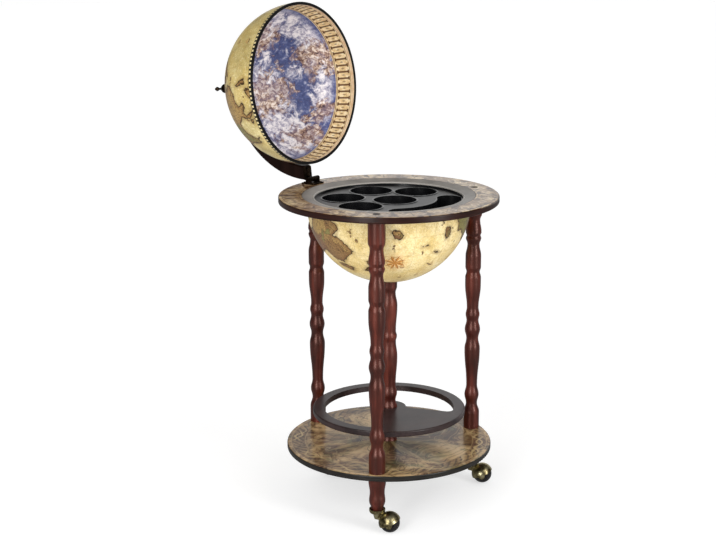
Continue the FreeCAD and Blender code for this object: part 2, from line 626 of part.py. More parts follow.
def hinge_leaf():
    """Leaf on the end of the arm, with a web down to its knuckle on the pin."""
    knuckle = bar(KNUCKLE_RADIUS, -KNUCKLE_HALF, KNUCKLE_HALF, HINGE_Y, HINGE_Z)
    web_low = Vector(-KNUCKLE_HALF, HINGE_Y - LEAF_PLATE / 2, HINGE_Z)
    web = block(web_low, Vector(KNUCKLE_HALF, HINGE_Y + LEAF_PLATE / 2, ARM_END_Z))
    half = ARM_WIDTH / 2 - LEAF_MARGIN
    plate_low = Vector(-half, ARM_INNER + LEAF_MARGIN, ARM_END_Z - LEAF_PLATE)
    plate = block(plate_low, Vector(half, HINGE_Y + LEAF_PLATE / 2, ARM_END_Z))
    leaf = knuckle.fuse([web, plate])
    leaf = leaf.cut(bar(HINGE_PIN_RADIUS + RUNNING_FIT, -REACH, REACH, HINGE_Y, HINGE_Z))
    for x, y in leaf_screw_places():
        low = ARM_END_Z - LEAF_PLATE
        leaf = leaf.cut(cylinder(SMALL_SCREW_RADIUS + BORE_PLAY, low, ARM_END_Z, x, y))
    return leaf.removeSplitter()


def hinge_leaf_screws():
    length = LEAF_PLATE + SMALL_SCREW_LENGTH
    screw = pan_screw(SMALL_SCREW_RADIUS, length, SMALL_HEAD_RADIUS, SMALL_HEAD_HEIGHT)
    screw.rotate(ORIGIN, ALONG_X, 180)
    return Part.makeCompound([moved(screw, x, y, ARM_END_Z - LEAF_PLATE) for x, y in leaf_screw_places()])


# Arm, pole and lid, all built closed
def meridian_arm():
    """Quarter arc from the hinge to the pole, with a round end and flats for the spacer and the finial."""
    half = ARM_WIDTH / 2
    arc = bar(ARM_OUTER, -half, half, 0, LID_Z).cut(bar(ARM_INNER, -half, half, 0, LID_Z))
    keep = block(Vector(-half, 0, ARM_END_Z), Vector(half, REACH, REACH))
    arc = arc.common(keep.fuse(cylinder(half, LID_Z, REACH)))
    circles = [e for e in arc.Edges if e.Curve.TypeId == "Part::GeomCircle"]
    arc = arc.makeFillet(ARM_ROUND, [e for e in circles if e.BoundBox.XLength < ARM_ROUND])
    arc = arc.cut(cylinder(POLE_SPACER_RADIUS + BORE_PLAY, LID_Z, SPACER_TOP))
    arc = arc.cut(cylinder(FINIAL_BASE_RADIUS + BORE_PLAY, FINIAL_Z, FINIAL_Z + ARM_DEPTH))
    arc = arc.cut(cylinder(POLE_BOLT_RADIUS + SNUG_FIT, LID_Z, REACH))
    for x, y in leaf_screw_places():
        pilot = cylinder(SMALL_SCREW_RADIUS + SNUG_FIT, ARM_END_Z, ARM_END_Z + SMALL_SCREW_LENGTH, x, y)
        arc = arc.cut(pilot)
    return arc


def pole_spacer():
    low = LID_Z + GLOBE_RADIUS + POLE_GAP
    spacer = cylinder(POLE_SPACER_RADIUS, low, SPACER_TOP)
    return spacer.cut(cylinder(POLE_BOLT_RADIUS + SNUG_FIT, low, SPACER_TOP))


def pole_washer_top():
    """Just inside the lining, at the washer's edge."""
    return LID_Z + math.sqrt(LINING_INNER**2 - POLE_WASHER_RADIUS**2) - POLE_GAP


def pole_washer():
    top = pole_washer_top()
    low = top - POLE_WASHER_THICKNESS
    return cylinder(POLE_WASHER_RADIUS, low, top).cut(cylinder(POLE_BOLT_RADIUS + SNUG_FIT, low, top))


def pole_bolt():
    seat = pole_washer_top() - POLE_WASHER_THICKNESS
    length = FINIAL_Z + FINIAL_BORE_DEPTH - seat
    screw = pan_screw(POLE_BOLT_RADIUS, length, POLE_HEAD_RADIUS, POLE_HEAD_HEIGHT)
    screw.rotate(ORIGIN, ALONG_X, 180)
    return moved(screw, z=seat)


def finial():
    points = [(FINIAL_Z, FINIAL_BASE_RADIUS)] + stations(FINIAL_Z, FINIAL_HEIGHT, FINIAL_TURNING)
    points += [(FINIAL_Z + FINIAL_HEIGHT, FINIAL_TIP_RADIUS)]
    bore = cylinder(POLE_BOLT_RADIUS + SNUG_FIT, FINIAL_Z, FINIAL_Z + FINIAL_BORE_DEPTH)
    return turned(points).cut(bore)


def dome(outer, inner, hole):
    """Upper half shell that stands on the rim of the lid, with a hole at its pole."""
    centre = Vector(0, 0, LID_Z)
    shell = Part.makeSphere(outer, centre).cut(Part.makeSphere(inner, centre))
    shell = shell.common(cylinder(REACH, LID_RIM_Z + LID_RIM_HEIGHT, REACH))
    return shell.cut(cylinder(hole, LID_Z, REACH))


def lid_shell():
    return dome(GLOBE_RADIUS, GLOBE_RADIUS - LID_WALL, POLE_BOLT_RADIUS + RUNNING_FIT)


def lid_lining():
    return dome(LINING_INNER + LID_LINING, LINING_INNER, POLE_BOLT_RADIUS + POLE_GAP)


def lid_rim():
    """Trim round the edge of the lid, with a lip up inside the lining."""
    top = LID_RIM_Z + LID_RIM_HEIGHT
    lip_top = top + LID_RIM_LIP
    lip = math.sqrt(LINING_INNER**2 - (lip_top - LID_Z) ** 2) - LID_PLAY
    rim = cylinder(GLOBE_RADIUS + LID_RIM_PROUD, LID_RIM_Z, top)
    rim = rim.makeFillet(LID_RIM_PROUD / 2, [e for e in rim.Edges if e.Closed])
    rim = rim.fuse(cylinder(lip, LID_RIM_Z, lip_top))
    return rim.cut(cylinder(lip - LID_RIM_LIP_WALL, LID_RIM_Z, lip_top)).removeSplitter()


# Casters, built about their own swivel axis and trailing along +X
def wheel_centre():
    return Vector(CASTER_TRAIL, 0, WHEEL_RADIUS)


def across(radius, low, high):
    """Cylinder along Y through the middle of the wheel."""
    return Part.makeCylinder(radius, high - low, wheel_centre() + ALONG_Y * low, ALONG_Y)


def caster_wheel():
    """Ball with flat, dished sides, bored for its axle."""
    ball = Part.makeSphere(WHEEL_RADIUS, wheel_centre())
    ball = ball.common(across(REACH, -WHEEL_HALF_WIDTH, WHEEL_HALF_WIDTH))
    dish_floor = WHEEL_HALF_WIDTH - WHEEL_DISH_DEPTH
    for low, high in ((dish_floor, WHEEL_HALF_WIDTH), (-WHEEL_HALF_WIDTH, -dish_floor)):
        ball = ball.cut(across(WHEEL_DISH_RADIUS, low, high).cut(across(EAR_RADIUS, low, high)))
    return ball.cut(across(AXLE_RADIUS + RUNNING_FIT, -REACH, REACH))


def caster_axle():
    half = HOOD_OUTER - AXLE_HEAD_HEIGHT
    axle = across(AXLE_RADIUS, -half, half)
    heads = [across(AXLE_HEAD_RADIUS, half, HOOD_OUTER), across(AXLE_HEAD_RADIUS, -HOOD_OUTER, -half)]
    return axle.fuse(heads).removeSplitter()


def caster_hood():
    """Half-ball hood over the wheel with ears for the axle and a neck under the stem."""
    centre = wheel_centre()
    inner = Part.makeSphere(HOOD_INNER, centre)
    outer = Part.makeSphere(HOOD_OUTER, centre)
    above = Part.makeBox(REACH, REACH, REACH, centre - Vector(REACH / 2, REACH / 2, 0))
    above.rotate(centre, ALONG_Y, -HOOD_TILT)
    shell = outer.cut(inner).common(above)
    ears = [across(EAR_RADIUS, EAR_INNER, REACH), across(EAR_RADIUS, -REACH, -EAR_INNER)]
    ears = [ear.common(outer) for ear in ears]
    neck_low = Vector(0, 0, NECK_TOP - NECK_LENGTH)
    neck = Part.makeCone(NECK_TIP_RADIUS, NECK_TOP_RADIUS, NECK_LENGTH, neck_low, UP)
    shoulder = HOOD_OUTER * DIAGONAL
    side = [neck_low, Vector(0, 0, NECK_TOP), centre + Vector(-shoulder, 0, shoulder), centre, neck_low]
    web = Part.Face(Part.makePolygon(side)).extrude(ALONG_Y * (2 * NECK_TIP_RADIUS))
    web.translate(ALONG_Y * -NECK_TIP_RADIUS)
    hood = shell.fuse(ears + [neck.fuse(web).cut(inner)])
    seat = HOOD_OUTER - AXLE_HEAD_HEIGHT
    head = AXLE_HEAD_RADIUS + SNUG_FIT
    hood = hood.cut([across(head, seat, REACH), across(head, -REACH, -seat)])
    hood = hood.cut(across(AXLE_RADIUS + SNUG_FIT, -REACH, REACH))
    return hood.cut(cylinder(STEM_RADIUS + SNUG_FIT, NECK_TOP - STEM_IN_NECK, NECK_TOP)).removeSplitter()


def caster_stem():
    return cylinder(STEM_RADIUS, NECK_TOP - STEM_IN_NECK, FOOT_Z + SLEEVE_LENGTH - SWIVEL_GAP)


def caster_sleeve():
    bore = STEM_RADIUS + RUNNING_FIT
    sleeve = cylinder(bore + SLEEVE_WALL, FOOT_Z, FOOT_Z + SLEEVE_LENGTH)
    return sleeve.cut(cylinder(bore, FOOT_Z, FOOT_Z + SLEEVE_LENGTH))


def caster_cup():
    """Dished ferrule round the tip of the foot."""
    cup = cylinder(CUP_RADIUS, CASTER_HEIGHT, CASTER_HEIGHT + CUP_DEPTH)
    cup = pocket(cup, CUP_ROUND)
    hollow = pocket(cylinder(CUP_RADIUS - CUP_WALL, FOOT_Z, CASTER_HEIGHT + CUP_DEPTH), CUP_ROUND - CUP_WALL)
    bore = cylinder(STEM_RADIUS + BORE_PLAY, CASTER_HEIGHT, FOOT_Z)
    return cup.cut([hollow, bore])


def at_leg(shape, side):
    copy = shape.copy()
    copy.rotate(ORIGIN, UP, CASTER_HEADING)
    return moved(copy, *LEG_PLACES[side])


def pieces():
    made = {
        "bottom_shelf": bottom_shelf(),
        "leg_studs": leg_studs(),
        "leg_bolts": leg_bolts(),
        "bolt_caps": bolt_caps(),
        "table_ring": table_ring(),
        "column_lower": column_lower(),
        "column_upper": column_upper(),
        "bottle_rack": bottle_rack(),
        "column_rod": column_rod(),
        "rod_washer": rod_washer(),
        "rod_nut": rod_nut(),
        "bowl_shell": bowl_shell(),
        "bowl_screws": bowl_screws(),
        "bowl_seat_screw": bowl_seat_screw(),
        "bar_liner": bar_liner(),
        "liner_deck": liner_deck(),
        "bottle_wells": bottle_wells(),
        "liner_trough": liner_trough(),
        "hinge_base": hinge_base(),
        "hinge_pin": hinge_pin(),
        "hinge_base_screws": hinge_base_screws(),
    }
    closed = {
        "hinge_leaf": hinge_leaf(),
        "hinge_leaf_screws": hinge_leaf_screws(),
        "meridian_arm": meridian_arm(),
        "pole_spacer": pole_spacer(),
        "pole_washer": pole_washer(),
        "pole_bolt": pole_bolt(),
        "finial": finial(),
        "lid_shell": lid_shell(),
        "lid_lining": lid_lining(),
        "lid_rim": lid_rim(),
    }
    made.update({name: opened(shape) for name, shape in closed.items()})
    at_each_leg = {
        "leg": leg(),
        "foot": foot(),
        "caster_cup": caster_cup(),
        "caster_sleeve": caster_sleeve(),
        "caster_stem": caster_stem(),
        "caster_hood": caster_hood(),
        "caster_axle": caster_axle(),
        "caster_wheel": caster_wheel(),
    }
    for side in LEG_PLACES:
        made.update({f"{name}_{side}": at_leg(shape, side) for name, shape in at_each_leg.items()})
    return made


os.makedirs("parts", exist_ok=True)
for node, shape in pieces().items():
    shape.exportStep(f"parts/{node}.step")
    print(node, "solids", len(shape.Solids), "valid", shape.isValid(), "volume", round(shape.Volume))
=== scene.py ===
import json
import math

import bpy
import numpy as np
from mathutils import Matrix, Vector


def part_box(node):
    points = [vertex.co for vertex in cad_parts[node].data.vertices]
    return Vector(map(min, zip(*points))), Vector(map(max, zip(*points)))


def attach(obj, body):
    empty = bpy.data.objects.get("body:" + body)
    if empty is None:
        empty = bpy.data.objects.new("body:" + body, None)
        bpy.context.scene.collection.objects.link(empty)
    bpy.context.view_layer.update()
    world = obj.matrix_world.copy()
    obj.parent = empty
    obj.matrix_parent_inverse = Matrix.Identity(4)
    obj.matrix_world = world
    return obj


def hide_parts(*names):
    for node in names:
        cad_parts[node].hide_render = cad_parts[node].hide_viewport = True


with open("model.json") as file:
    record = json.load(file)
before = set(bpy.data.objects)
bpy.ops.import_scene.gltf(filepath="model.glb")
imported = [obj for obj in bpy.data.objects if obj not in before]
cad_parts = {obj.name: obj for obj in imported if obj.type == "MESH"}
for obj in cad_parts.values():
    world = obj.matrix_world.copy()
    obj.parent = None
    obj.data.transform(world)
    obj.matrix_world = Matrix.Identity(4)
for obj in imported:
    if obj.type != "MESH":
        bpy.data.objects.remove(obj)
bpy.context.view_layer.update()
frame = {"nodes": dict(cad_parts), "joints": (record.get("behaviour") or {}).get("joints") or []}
nodes = frame["nodes"]
hinge = next(joint for joint in frame["joints"] if joint["name"] == "lid_hinge")

# Places on the part, in metres, those of the lid as it is when closed
RING_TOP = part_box("table_ring")[1][2]
SHELF_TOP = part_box("bottom_shelf")[1][2]
GLOBE_RADIUS = 0.165
BOWL_Z = 0.6304
BOWL_WALL = 0.0035
BOWL_HOLE = 0.0026  # radius, for the seat screw
BOWL_FLANGE_RADIUS = 0.1725
BOWL_FLANGE_Z = (0.6360, 0.6380)
LID_Z = 0.644
LID_EDGE_Z = 0.6448
LID_WALL = 0.0025
LID_HOLE = 0.00305  # radius, for the pole bolt
LINING_OUTER = 0.1624
LINING_INNER = 0.1612
LINING_HOLE = 0.0033
HINGE = Vector(hinge["pos_m"])
LID_OPEN = math.radians(hinge["range_deg"][1])
SIDES = ("back", "left", "right")
CLOSE = Matrix.Translation(HINGE) @ Matrix.Rotation(LID_OPEN, 4, "X") @ Matrix.Translation(-HINGE)
OPEN = CLOSE.inverted()


def linear(code):
    """Linear RGBA of an sRGB hex code."""
    values = [int(code[i : i + 2], 16) / 255 for i in (0, 2, 4)]
    return tuple(v / 12.92 if v <= 0.04045 else ((v + 0.055) / 1.055) ** 2.4 for v in values) + (1.0,)


class Value:
    """A shader socket that takes part in sums."""

    def __init__(self, tree, socket):
        self.tree = tree
        self.socket = socket

    def op(self, operation, *others):
        node = self.tree.nodes.new("ShaderNodeMath")
        node.operation = operation
        for socket, value in zip(node.inputs, (self,) + others):
            feed(self.tree, socket, value)
        return Value(self.tree, node.outputs[0])

    def __add__(self, other):
        return self.op("ADD", other)

    def __sub__(self, other):
        return self.op("SUBTRACT", other)

    def __mul__(self, other):
        return self.op("MULTIPLY", other)

    def __truediv__(self, other):
        return self.op("DIVIDE", other)

    def step(self, low, high):
        """Smooth 0 to 1 between two values, or 1 to 0 where low is the larger."""
        node = self.tree.nodes.new("ShaderNodeMapRange")
        node.interpolation_type = "SMOOTHSTEP"
        feed(self.tree, node.inputs["Value"], self)
        first, last = (0.0, 1.0) if low < high else (1.0, 0.0)
        node.inputs["From Min"].default_value = min(low, high)
        node.inputs["From Max"].default_value = max(low, high)
        node.inputs["To Min"].default_value = first
        node.inputs["To Max"].default_value = last
        return Value(self.tree, node.outputs["Result"])

    def band(self, low, high, soft):
        """1 between two values, falling off over soft outside them."""
        return self.step(low - soft, low) * self.step(high + soft, high)

    def wave(self, count):
        """Repeats 0 to 1 count times per unit."""
        return (self * count).op("FRACT")

    def line(self, count, width):
        """Thin lines count times per unit, each of a share of the pitch."""
        away = ((self * count).op("FRACT") - 0.5).op("ABSOLUTE")
        return away.step(0.5 - width, 0.5 - width / 3)


def feed(tree, socket, value):
    if isinstance(value, Value):
        tree.links.new(value.socket, socket)
    elif isinstance(value, str):
        socket.default_value = linear(value)
    else:
        socket.default_value = value


class Paint:
    """One procedural material."""

    def __init__(self, name, **constants):
        self.material = bpy.data.materials.new(name)
        self.material.use_nodes = True
        self.tree = self.material.node_tree
        self.tree.nodes.clear()
        output = self.tree.nodes.new("ShaderNodeOutputMaterial")
        self.shader = self.tree.nodes.new("ShaderNodeBsdfPrincipled")
        self.tree.links.new(self.shader.outputs[0], output.inputs[0])
        for key, value in constants.items():
            feed(self.tree, self.shader.inputs[key.replace("_", " ")], value)

    def give(self, socket, value):
        feed(self.tree, self.shader.inputs[socket], value)

    def node(self, kind, output, inputs, **settings):
        node = self.tree.nodes.new(kind)
        for key, value in settings.items():
            setattr(node, key, value)
        for key, value in inputs.items():
            feed(self.tree, node.inputs[key], value)
        return Value(self.tree, node.outputs[output])

    def place(self, matrix=None, scale=(1, 1, 1)):
        """Object coordinates, through a matrix and then scaled."""
        node = self.tree.nodes.new("ShaderNodeTexCoord")
        here = Value(self.tree, node.outputs["Object"])
        if matrix is not None:
            inputs = {"Vector": here, "Location": matrix.translation, "Rotation": matrix.to_euler()}
            here = self.node("ShaderNodeMapping", 0, inputs)
        if tuple(scale) != (1, 1, 1):
            here = self.node("ShaderNodeMapping", 0, {"Vector": here, "Scale": scale})
        return here

    def normal(self):
        node = self.tree.nodes.new("ShaderNodeTexCoord")
        return self.split(Value(self.tree, node.outputs["Normal"]))

    def split(self, vector):
        node = self.tree.nodes.new("ShaderNodeSeparateXYZ")
        feed(self.tree, node.inputs[0], vector)
        return [Value(self.tree, socket) for socket in node.outputs]

    def join(self, x, y, z):
        return self.node("ShaderNodeCombineXYZ", 0, {"X": x, "Y": y, "Z": z})

    def attribute(self, name):
        return self.node("ShaderNodeAttribute", "Fac", {}, attribute_name=name)

    def noise(self, vector, scale, detail=3.0, rough=0.5, warp=0.0):
        inputs = {"Vector": vector, "Scale": scale, "Detail": detail, "Roughness": rough, "Distortion": warp}
        return self.node("ShaderNodeTexNoise", 0, inputs)

    def cells(self, vector, scale, feature="F1", output="Distance"):
        return self.node("ShaderNodeTexVoronoi", output, {"Vector": vector, "Scale": scale}, feature=feature)

    def mix(self, share, first, second):
        node = self.tree.nodes.new("ShaderNodeMix")
        node.data_type = "RGBA"
        feed(self.tree, node.inputs[0], share)
        feed(self.tree, node.inputs[6], first)
        feed(self.tree, node.inputs[7], second)
        return Value(self.tree, node.outputs[2])

    def ramp(self, value, stops):
        node = self.tree.nodes.new("ShaderNodeValToRGB")
        feed(self.tree, node.inputs[0], value)
        points = node.color_ramp.elements
        while len(points) < len(stops):
            points.new(0.5)
        for point, (place, code) in zip(points, stops):
            point.position = place
            point.color = linear(code)
        return Value(self.tree, node.outputs[0])

    def bump(self, height, strength, distance):
        inputs = {"Height": height, "Strength": strength, "Distance": distance}
        self.give("Normal", self.node("ShaderNodeBump", 0, inputs))


def each_side(*parts):
    """Names of the nodes that there are three of."""
    return [f"{part}_{side}" for part in parts for side in SIDES]


def wear(*names, paint):
    """Paints CAD nodes or pieces of the scene."""
    for name in names:
        thing = nodes.get(name) or bpy.data.objects[name]
        thing.data.materials.clear()
        thing.data.materials.append(paint.material)


# Wood, metal and plain plastics
def lacquered_wood(name, dark, middle, light, shine):
    paint = Paint(
        name, Coat_Weight=shine / 4, Coat_Roughness=0.30, Specular_IOR_Level=shine, Specular_Tint="ffb6a4"
    )
    streaks = paint.noise(paint.place(scale=(70, 70, 5)), 1.0, 4.0, 0.6, 0.6)
    pores = paint.noise(paint.place(scale=(520, 520, 18)), 1.0, 2.0, 0.5)
    clouds = paint.noise(paint.place(), 14.0, 2.0, 0.5)
    tone = streaks * 0.6 + clouds * 0.25 + pores * 0.15
    colour = paint.ramp(tone, [(0.34, dark), (0.50, middle), (0.66, light)])
    colour = paint.mix(pores.step(0.62, 0.72) * 0.35, colour, dark)
    paint.give("Base Color", colour)
    paint.give("Roughness", streaks * 0.10 + 0.36)
    paint.bump(pores * 0.4 + streaks, 0.06, 0.0003)
    return paint


def metal(name, bright, dull, dark, roughness):
    paint = Paint(name, Metallic=1.0)
    patches = paint.noise(paint.place(), 90.0, 5.0, 0.6)
    specks = paint.noise(paint.place(), 700.0, 2.0, 0.5)
    colour = paint.ramp(patches, [(0.32, dark), (0.48, dull), (0.62, bright)])
    paint.give("Base Color", paint.mix(specks.step(0.60, 0.75) * 0.4, colour, dark))
    paint.give("Roughness", patches * 0.18 + roughness)
    paint.bump(specks, 0.10, 0.0002)
    return paint


def plastic(name, colour, shade, roughness, grain, shine=0.5):
    paint = Paint(name, Specular_IOR_Level=shine)
    clouds = paint.noise(paint.place(), 35.0, 3.0, 0.5)
    fine = paint.noise(paint.place(), grain, 2.0, 0.5)
    paint.give("Base Color", paint.mix(clouds.step(0.35, 0.7), colour, shade))
    paint.give("Roughness", fine * 0.14 + roughness)
    paint.bump(fine, 0.10, 0.0002)
    return paint


# Printed boards, with the radii of their ornaments in metres
LINE_SOFT = 0.0004
PRINT_FADE = (0.0020, 0.0012)  # below the top of a board
EDGE_GRAIN = (30, 30, 400)
RING_CELLS = 36.0
RING_BAND = 0.1965  # middle of the band of cells
RING_BAND_HALF = 0.016
RING_LINES = ((0.1788, 0.1798), (0.2130, 0.2140))
SHELF_BORDER = (0.1745, 0.2020)
SHELF_LINES = ((0.1735, 0.1746), (0.2022, 0.2032))
SHELF_LEAVES = (0.1780, 0.1990)
SHELF_SCROLL = (0.1862, 0.1900)
SCROLL_WAVES = 20
SCROLL_SWING = 0.0075
LEAF_WAVES = 60
# Points of the rose on the shelf: count, reach and the tones of their halves
SHELF_POINTS = ((16.0, 0.105, "a58b58", "6a5a34"), (8.0, 0.150, "c2aa7a", "4f4a2a"))


def polar(x, y):
    """Distance from the middle, and angle as a share of a turn."""
    radius = (x * x + y * y).op("SQRT")
    angle = y.op("ARCTAN2", x) / math.tau + 0.5
    return radius, angle


def border_lines(radius, lines):
    """Two thin rings, each between two radii."""
    first, last = lines
    return radius.band(*first, LINE_SOFT) + radius.band(*last, LINE_SOFT)


def finish_board(paint, z, height, colour, edge_tones, coat, stains, roughness):
    """Varnished print on the top, which is at a height, and paint on the edge and underside."""
    low, high = PRINT_FADE
    top = paint.normal()[2].step(0.75, 0.95) * z.step(height - low, height - high)
    grain = paint.noise(paint.place(scale=EDGE_GRAIN), 1.0, 3.0, 0.6)
    dark, light = edge_tones
    edge = paint.ramp(grain, [(0.3, dark), (0.7, light)])
    paint.give("Base Color", paint.mix(top, edge, colour))
    paint.give("Coat Weight", top * coat)
    paint.give("Roughness", stains * 0.15 + roughness)
    paint.bump(stains + grain * 0.3, 0.08, 0.0003)


def ring_board():
    paint = Paint("ring_print", Coat_Roughness=0.2, Specular_IOR_Level=0.3)
    here = paint.place()
    x, y, z = paint.split(here)
    radius, angle = polar(x, y)
    age = paint.noise(here, 24.0, 5.0, 0.6)
    stains = paint.noise(here, 55.0, 4.0, 0.6, 0.5)
    colour = paint.ramp(age, [(0.30, "6e5032"), (0.48, "a7865c"), (0.64, "e2ca9e")])
    colour = paint.mix(stains.step(0.50, 0.58) * 0.90, colour, "452819")
    # Cells between two border lines with a diamond in each
    cell = angle.wave(RING_CELLS)
    across = (radius - RING_BAND) / RING_BAND_HALF
    lean = (cell - 0.5).op("ABSOLUTE") * 2.0 + across.op("ABSOLUTE")
    diamond = lean.step(0.80, 0.70)
    heart = lean.step(0.42, 0.34)
    inside = across.op("ABSOLUTE").step(1.0, 0.97)
    colour = paint.mix(diamond * inside * 0.50, colour, "d6c2a2")
    colour = paint.mix(heart * inside * 0.70, colour, "744a34")
    ink = angle.line(RING_CELLS, 0.06) * inside + border_lines(radius, RING_LINES)
    ink = ink + lean.band(0.74, 0.80, 0.03) * inside * 0.8
    colour = paint.mix(ink.op("MINIMUM", 1.0) * 0.75, colour, "422a1b")
    finish_board(paint, z, RING_TOP, colour, ("180805", "30140c"), 0.4, stains, 0.26)
    return paint


def shelf_board():
    paint = Paint("shelf_print", Coat_Roughness=0.10, Specular_IOR_Level=0.3)
    here = paint.place()
    x, y, z = paint.split(here)
    radius, angle = polar(x, y)
    age = paint.noise(here, 11.0, 6.0, 0.62, 0.4)
    stains = paint.noise(here, 19.0, 5.0, 0.62, 0.8)
    colour = paint.ramp(age, [(0.34, "29180d"), (0.46, "6c5030"), (0.58, "c2a274")])
    colour = paint.mix(stains.step(0.52, 0.64) * 0.70, colour, "60392a")
    colour = paint.mix(stains.step(0.46, 0.36) * 0.6, colour, "6f6a40")
    # Curling lines of an engraved chart
    curl = (paint.noise(here, 12.0, 2.0, 0.5, 1.2) * 8.0).op("FRACT")
    colour = paint.mix(curl.band(0.40, 0.50, 0.08) * 0.30, colour, "d0b88c")
    colour = paint.mix(curl.band(0.85, 0.92, 0.05) * 0.65, colour, "2e1d10")
    # Compass rose: long and short points with a light and a dark half
    for points, reach, light, dark in SHELF_POINTS:
        share = angle.wave(points) - 0.5
        width = (radius * -1.0 + reach) * (1.0 / reach)
        point = (share.op("ABSOLUTE") - width * 0.5).step(0.02, -0.02) * radius.step(reach, reach - 0.002)
        half = share.step(-0.01, 0.01)
        colour = paint.mix(point * 0.32, colour, paint.mix(half, light, dark))
    # Leaves and scrolls round the border
    colour = paint.mix(radius.band(*SHELF_BORDER, 0.0012) * 0.55, colour, "6e5032")
    bent = radius + (paint.noise(here, 30.0, 1.0, 0.5) - 0.5) * 0.026
    leaf = (angle * (math.tau * LEAF_WAVES) + bent * 420.0).op("SINE").step(0.1, 0.7)
    colour = paint.mix(leaf * radius.band(*SHELF_LEAVES, 0.001) * 0.70, colour, "2e1c0e")
    swing = (angle * (math.tau * SCROLL_WAVES)).op("SINE") * SCROLL_SWING
    scroll = (bent + swing).band(*SHELF_SCROLL, 0.0010) + (bent - swing).band(*SHELF_SCROLL, 0.0010)
    shown = paint.noise(here, 15.0, 2.0).step(0.44, 0.56)
    colour = paint.mix(scroll.op("MINIMUM", 1.0) * (shown * 0.55 + 0.08), colour, "ccb17c")
    rings = border_lines(radius, SHELF_LINES)
    colour = paint.mix(rings.op("MINIMUM", 1.0) * 0.40, colour, "c4ab7c")
    finish_board(paint, z, SHELF_TOP, colour, ("141210", "2a2724"), 0.3, stains, 0.28)
    return paint


def rack_board():
    paint = Paint("rack_paint", Coat_Weight=0.12, Coat_Roughness=0.16, Specular_IOR_Level=0.4)
    grain = paint.noise(paint.place(scale=(26, 240, 240)), 1.0, 4.0, 0.6)
    clouds = paint.noise(paint.place(), 20.0, 3.0, 0.5)
    colour = paint.ramp(clouds * 0.6 + grain * 0.4, [(0.35, "1e1415"), (0.65, "3a2b2a")])
    paint.give("Base Color", colour)
    paint.give("Roughness", grain * 0.15 + 0.30)
    paint.bump(grain, 0.10, 0.0003)
    return paint


# Frame of the liner: radii of its bead, where a pale line is painted as a highlight, and of the seam at its
# rim, and drop of the flange below the ring
LINER_BEAD_HIGHLIGHT = (0.1490, 0.1517)
LINER_SEAM = (0.1728, 0.1745)
FLANGE_DROP = (0.0068, 0.0062)


def liner_plastic():
    """Grey flange over a black wall, with a painted highlight along the bead."""
    paint = Paint("liner_plastic")
    here = paint.place()
    x, y, z = paint.split(here)
    radius = polar(x, y)[0]
    clouds = paint.noise(here, 30.0, 3.0, 0.5)
    fine = paint.noise(here, 900.0, 2.0, 0.5)
    grey = paint.ramp(clouds, [(0.3, "726d67"), (0.7, "89837c")])
    # painted highlight: a pale line along the bead
    grey = paint.mix(radius.band(*LINER_BEAD_HIGHLIGHT, 0.0003) * 0.8, grey, "b3afa8")
    grey = paint.mix(radius.band(*LINER_SEAM, 0.0003) * 0.6, grey, "4c4740")
    black = paint.ramp(clouds, [(0.3, "0d0d0f"), (0.7, "18181a")])
    low, high = FLANGE_DROP
    flange = z.step(RING_TOP - low, RING_TOP - high)
    paint.give("Base Color", paint.mix(flange, black, grey))
    paint.give("Roughness", fine * 0.12 + 0.16 + flange * 0.14)
    paint.bump(fine, 0.06, 0.0002)
    return paint


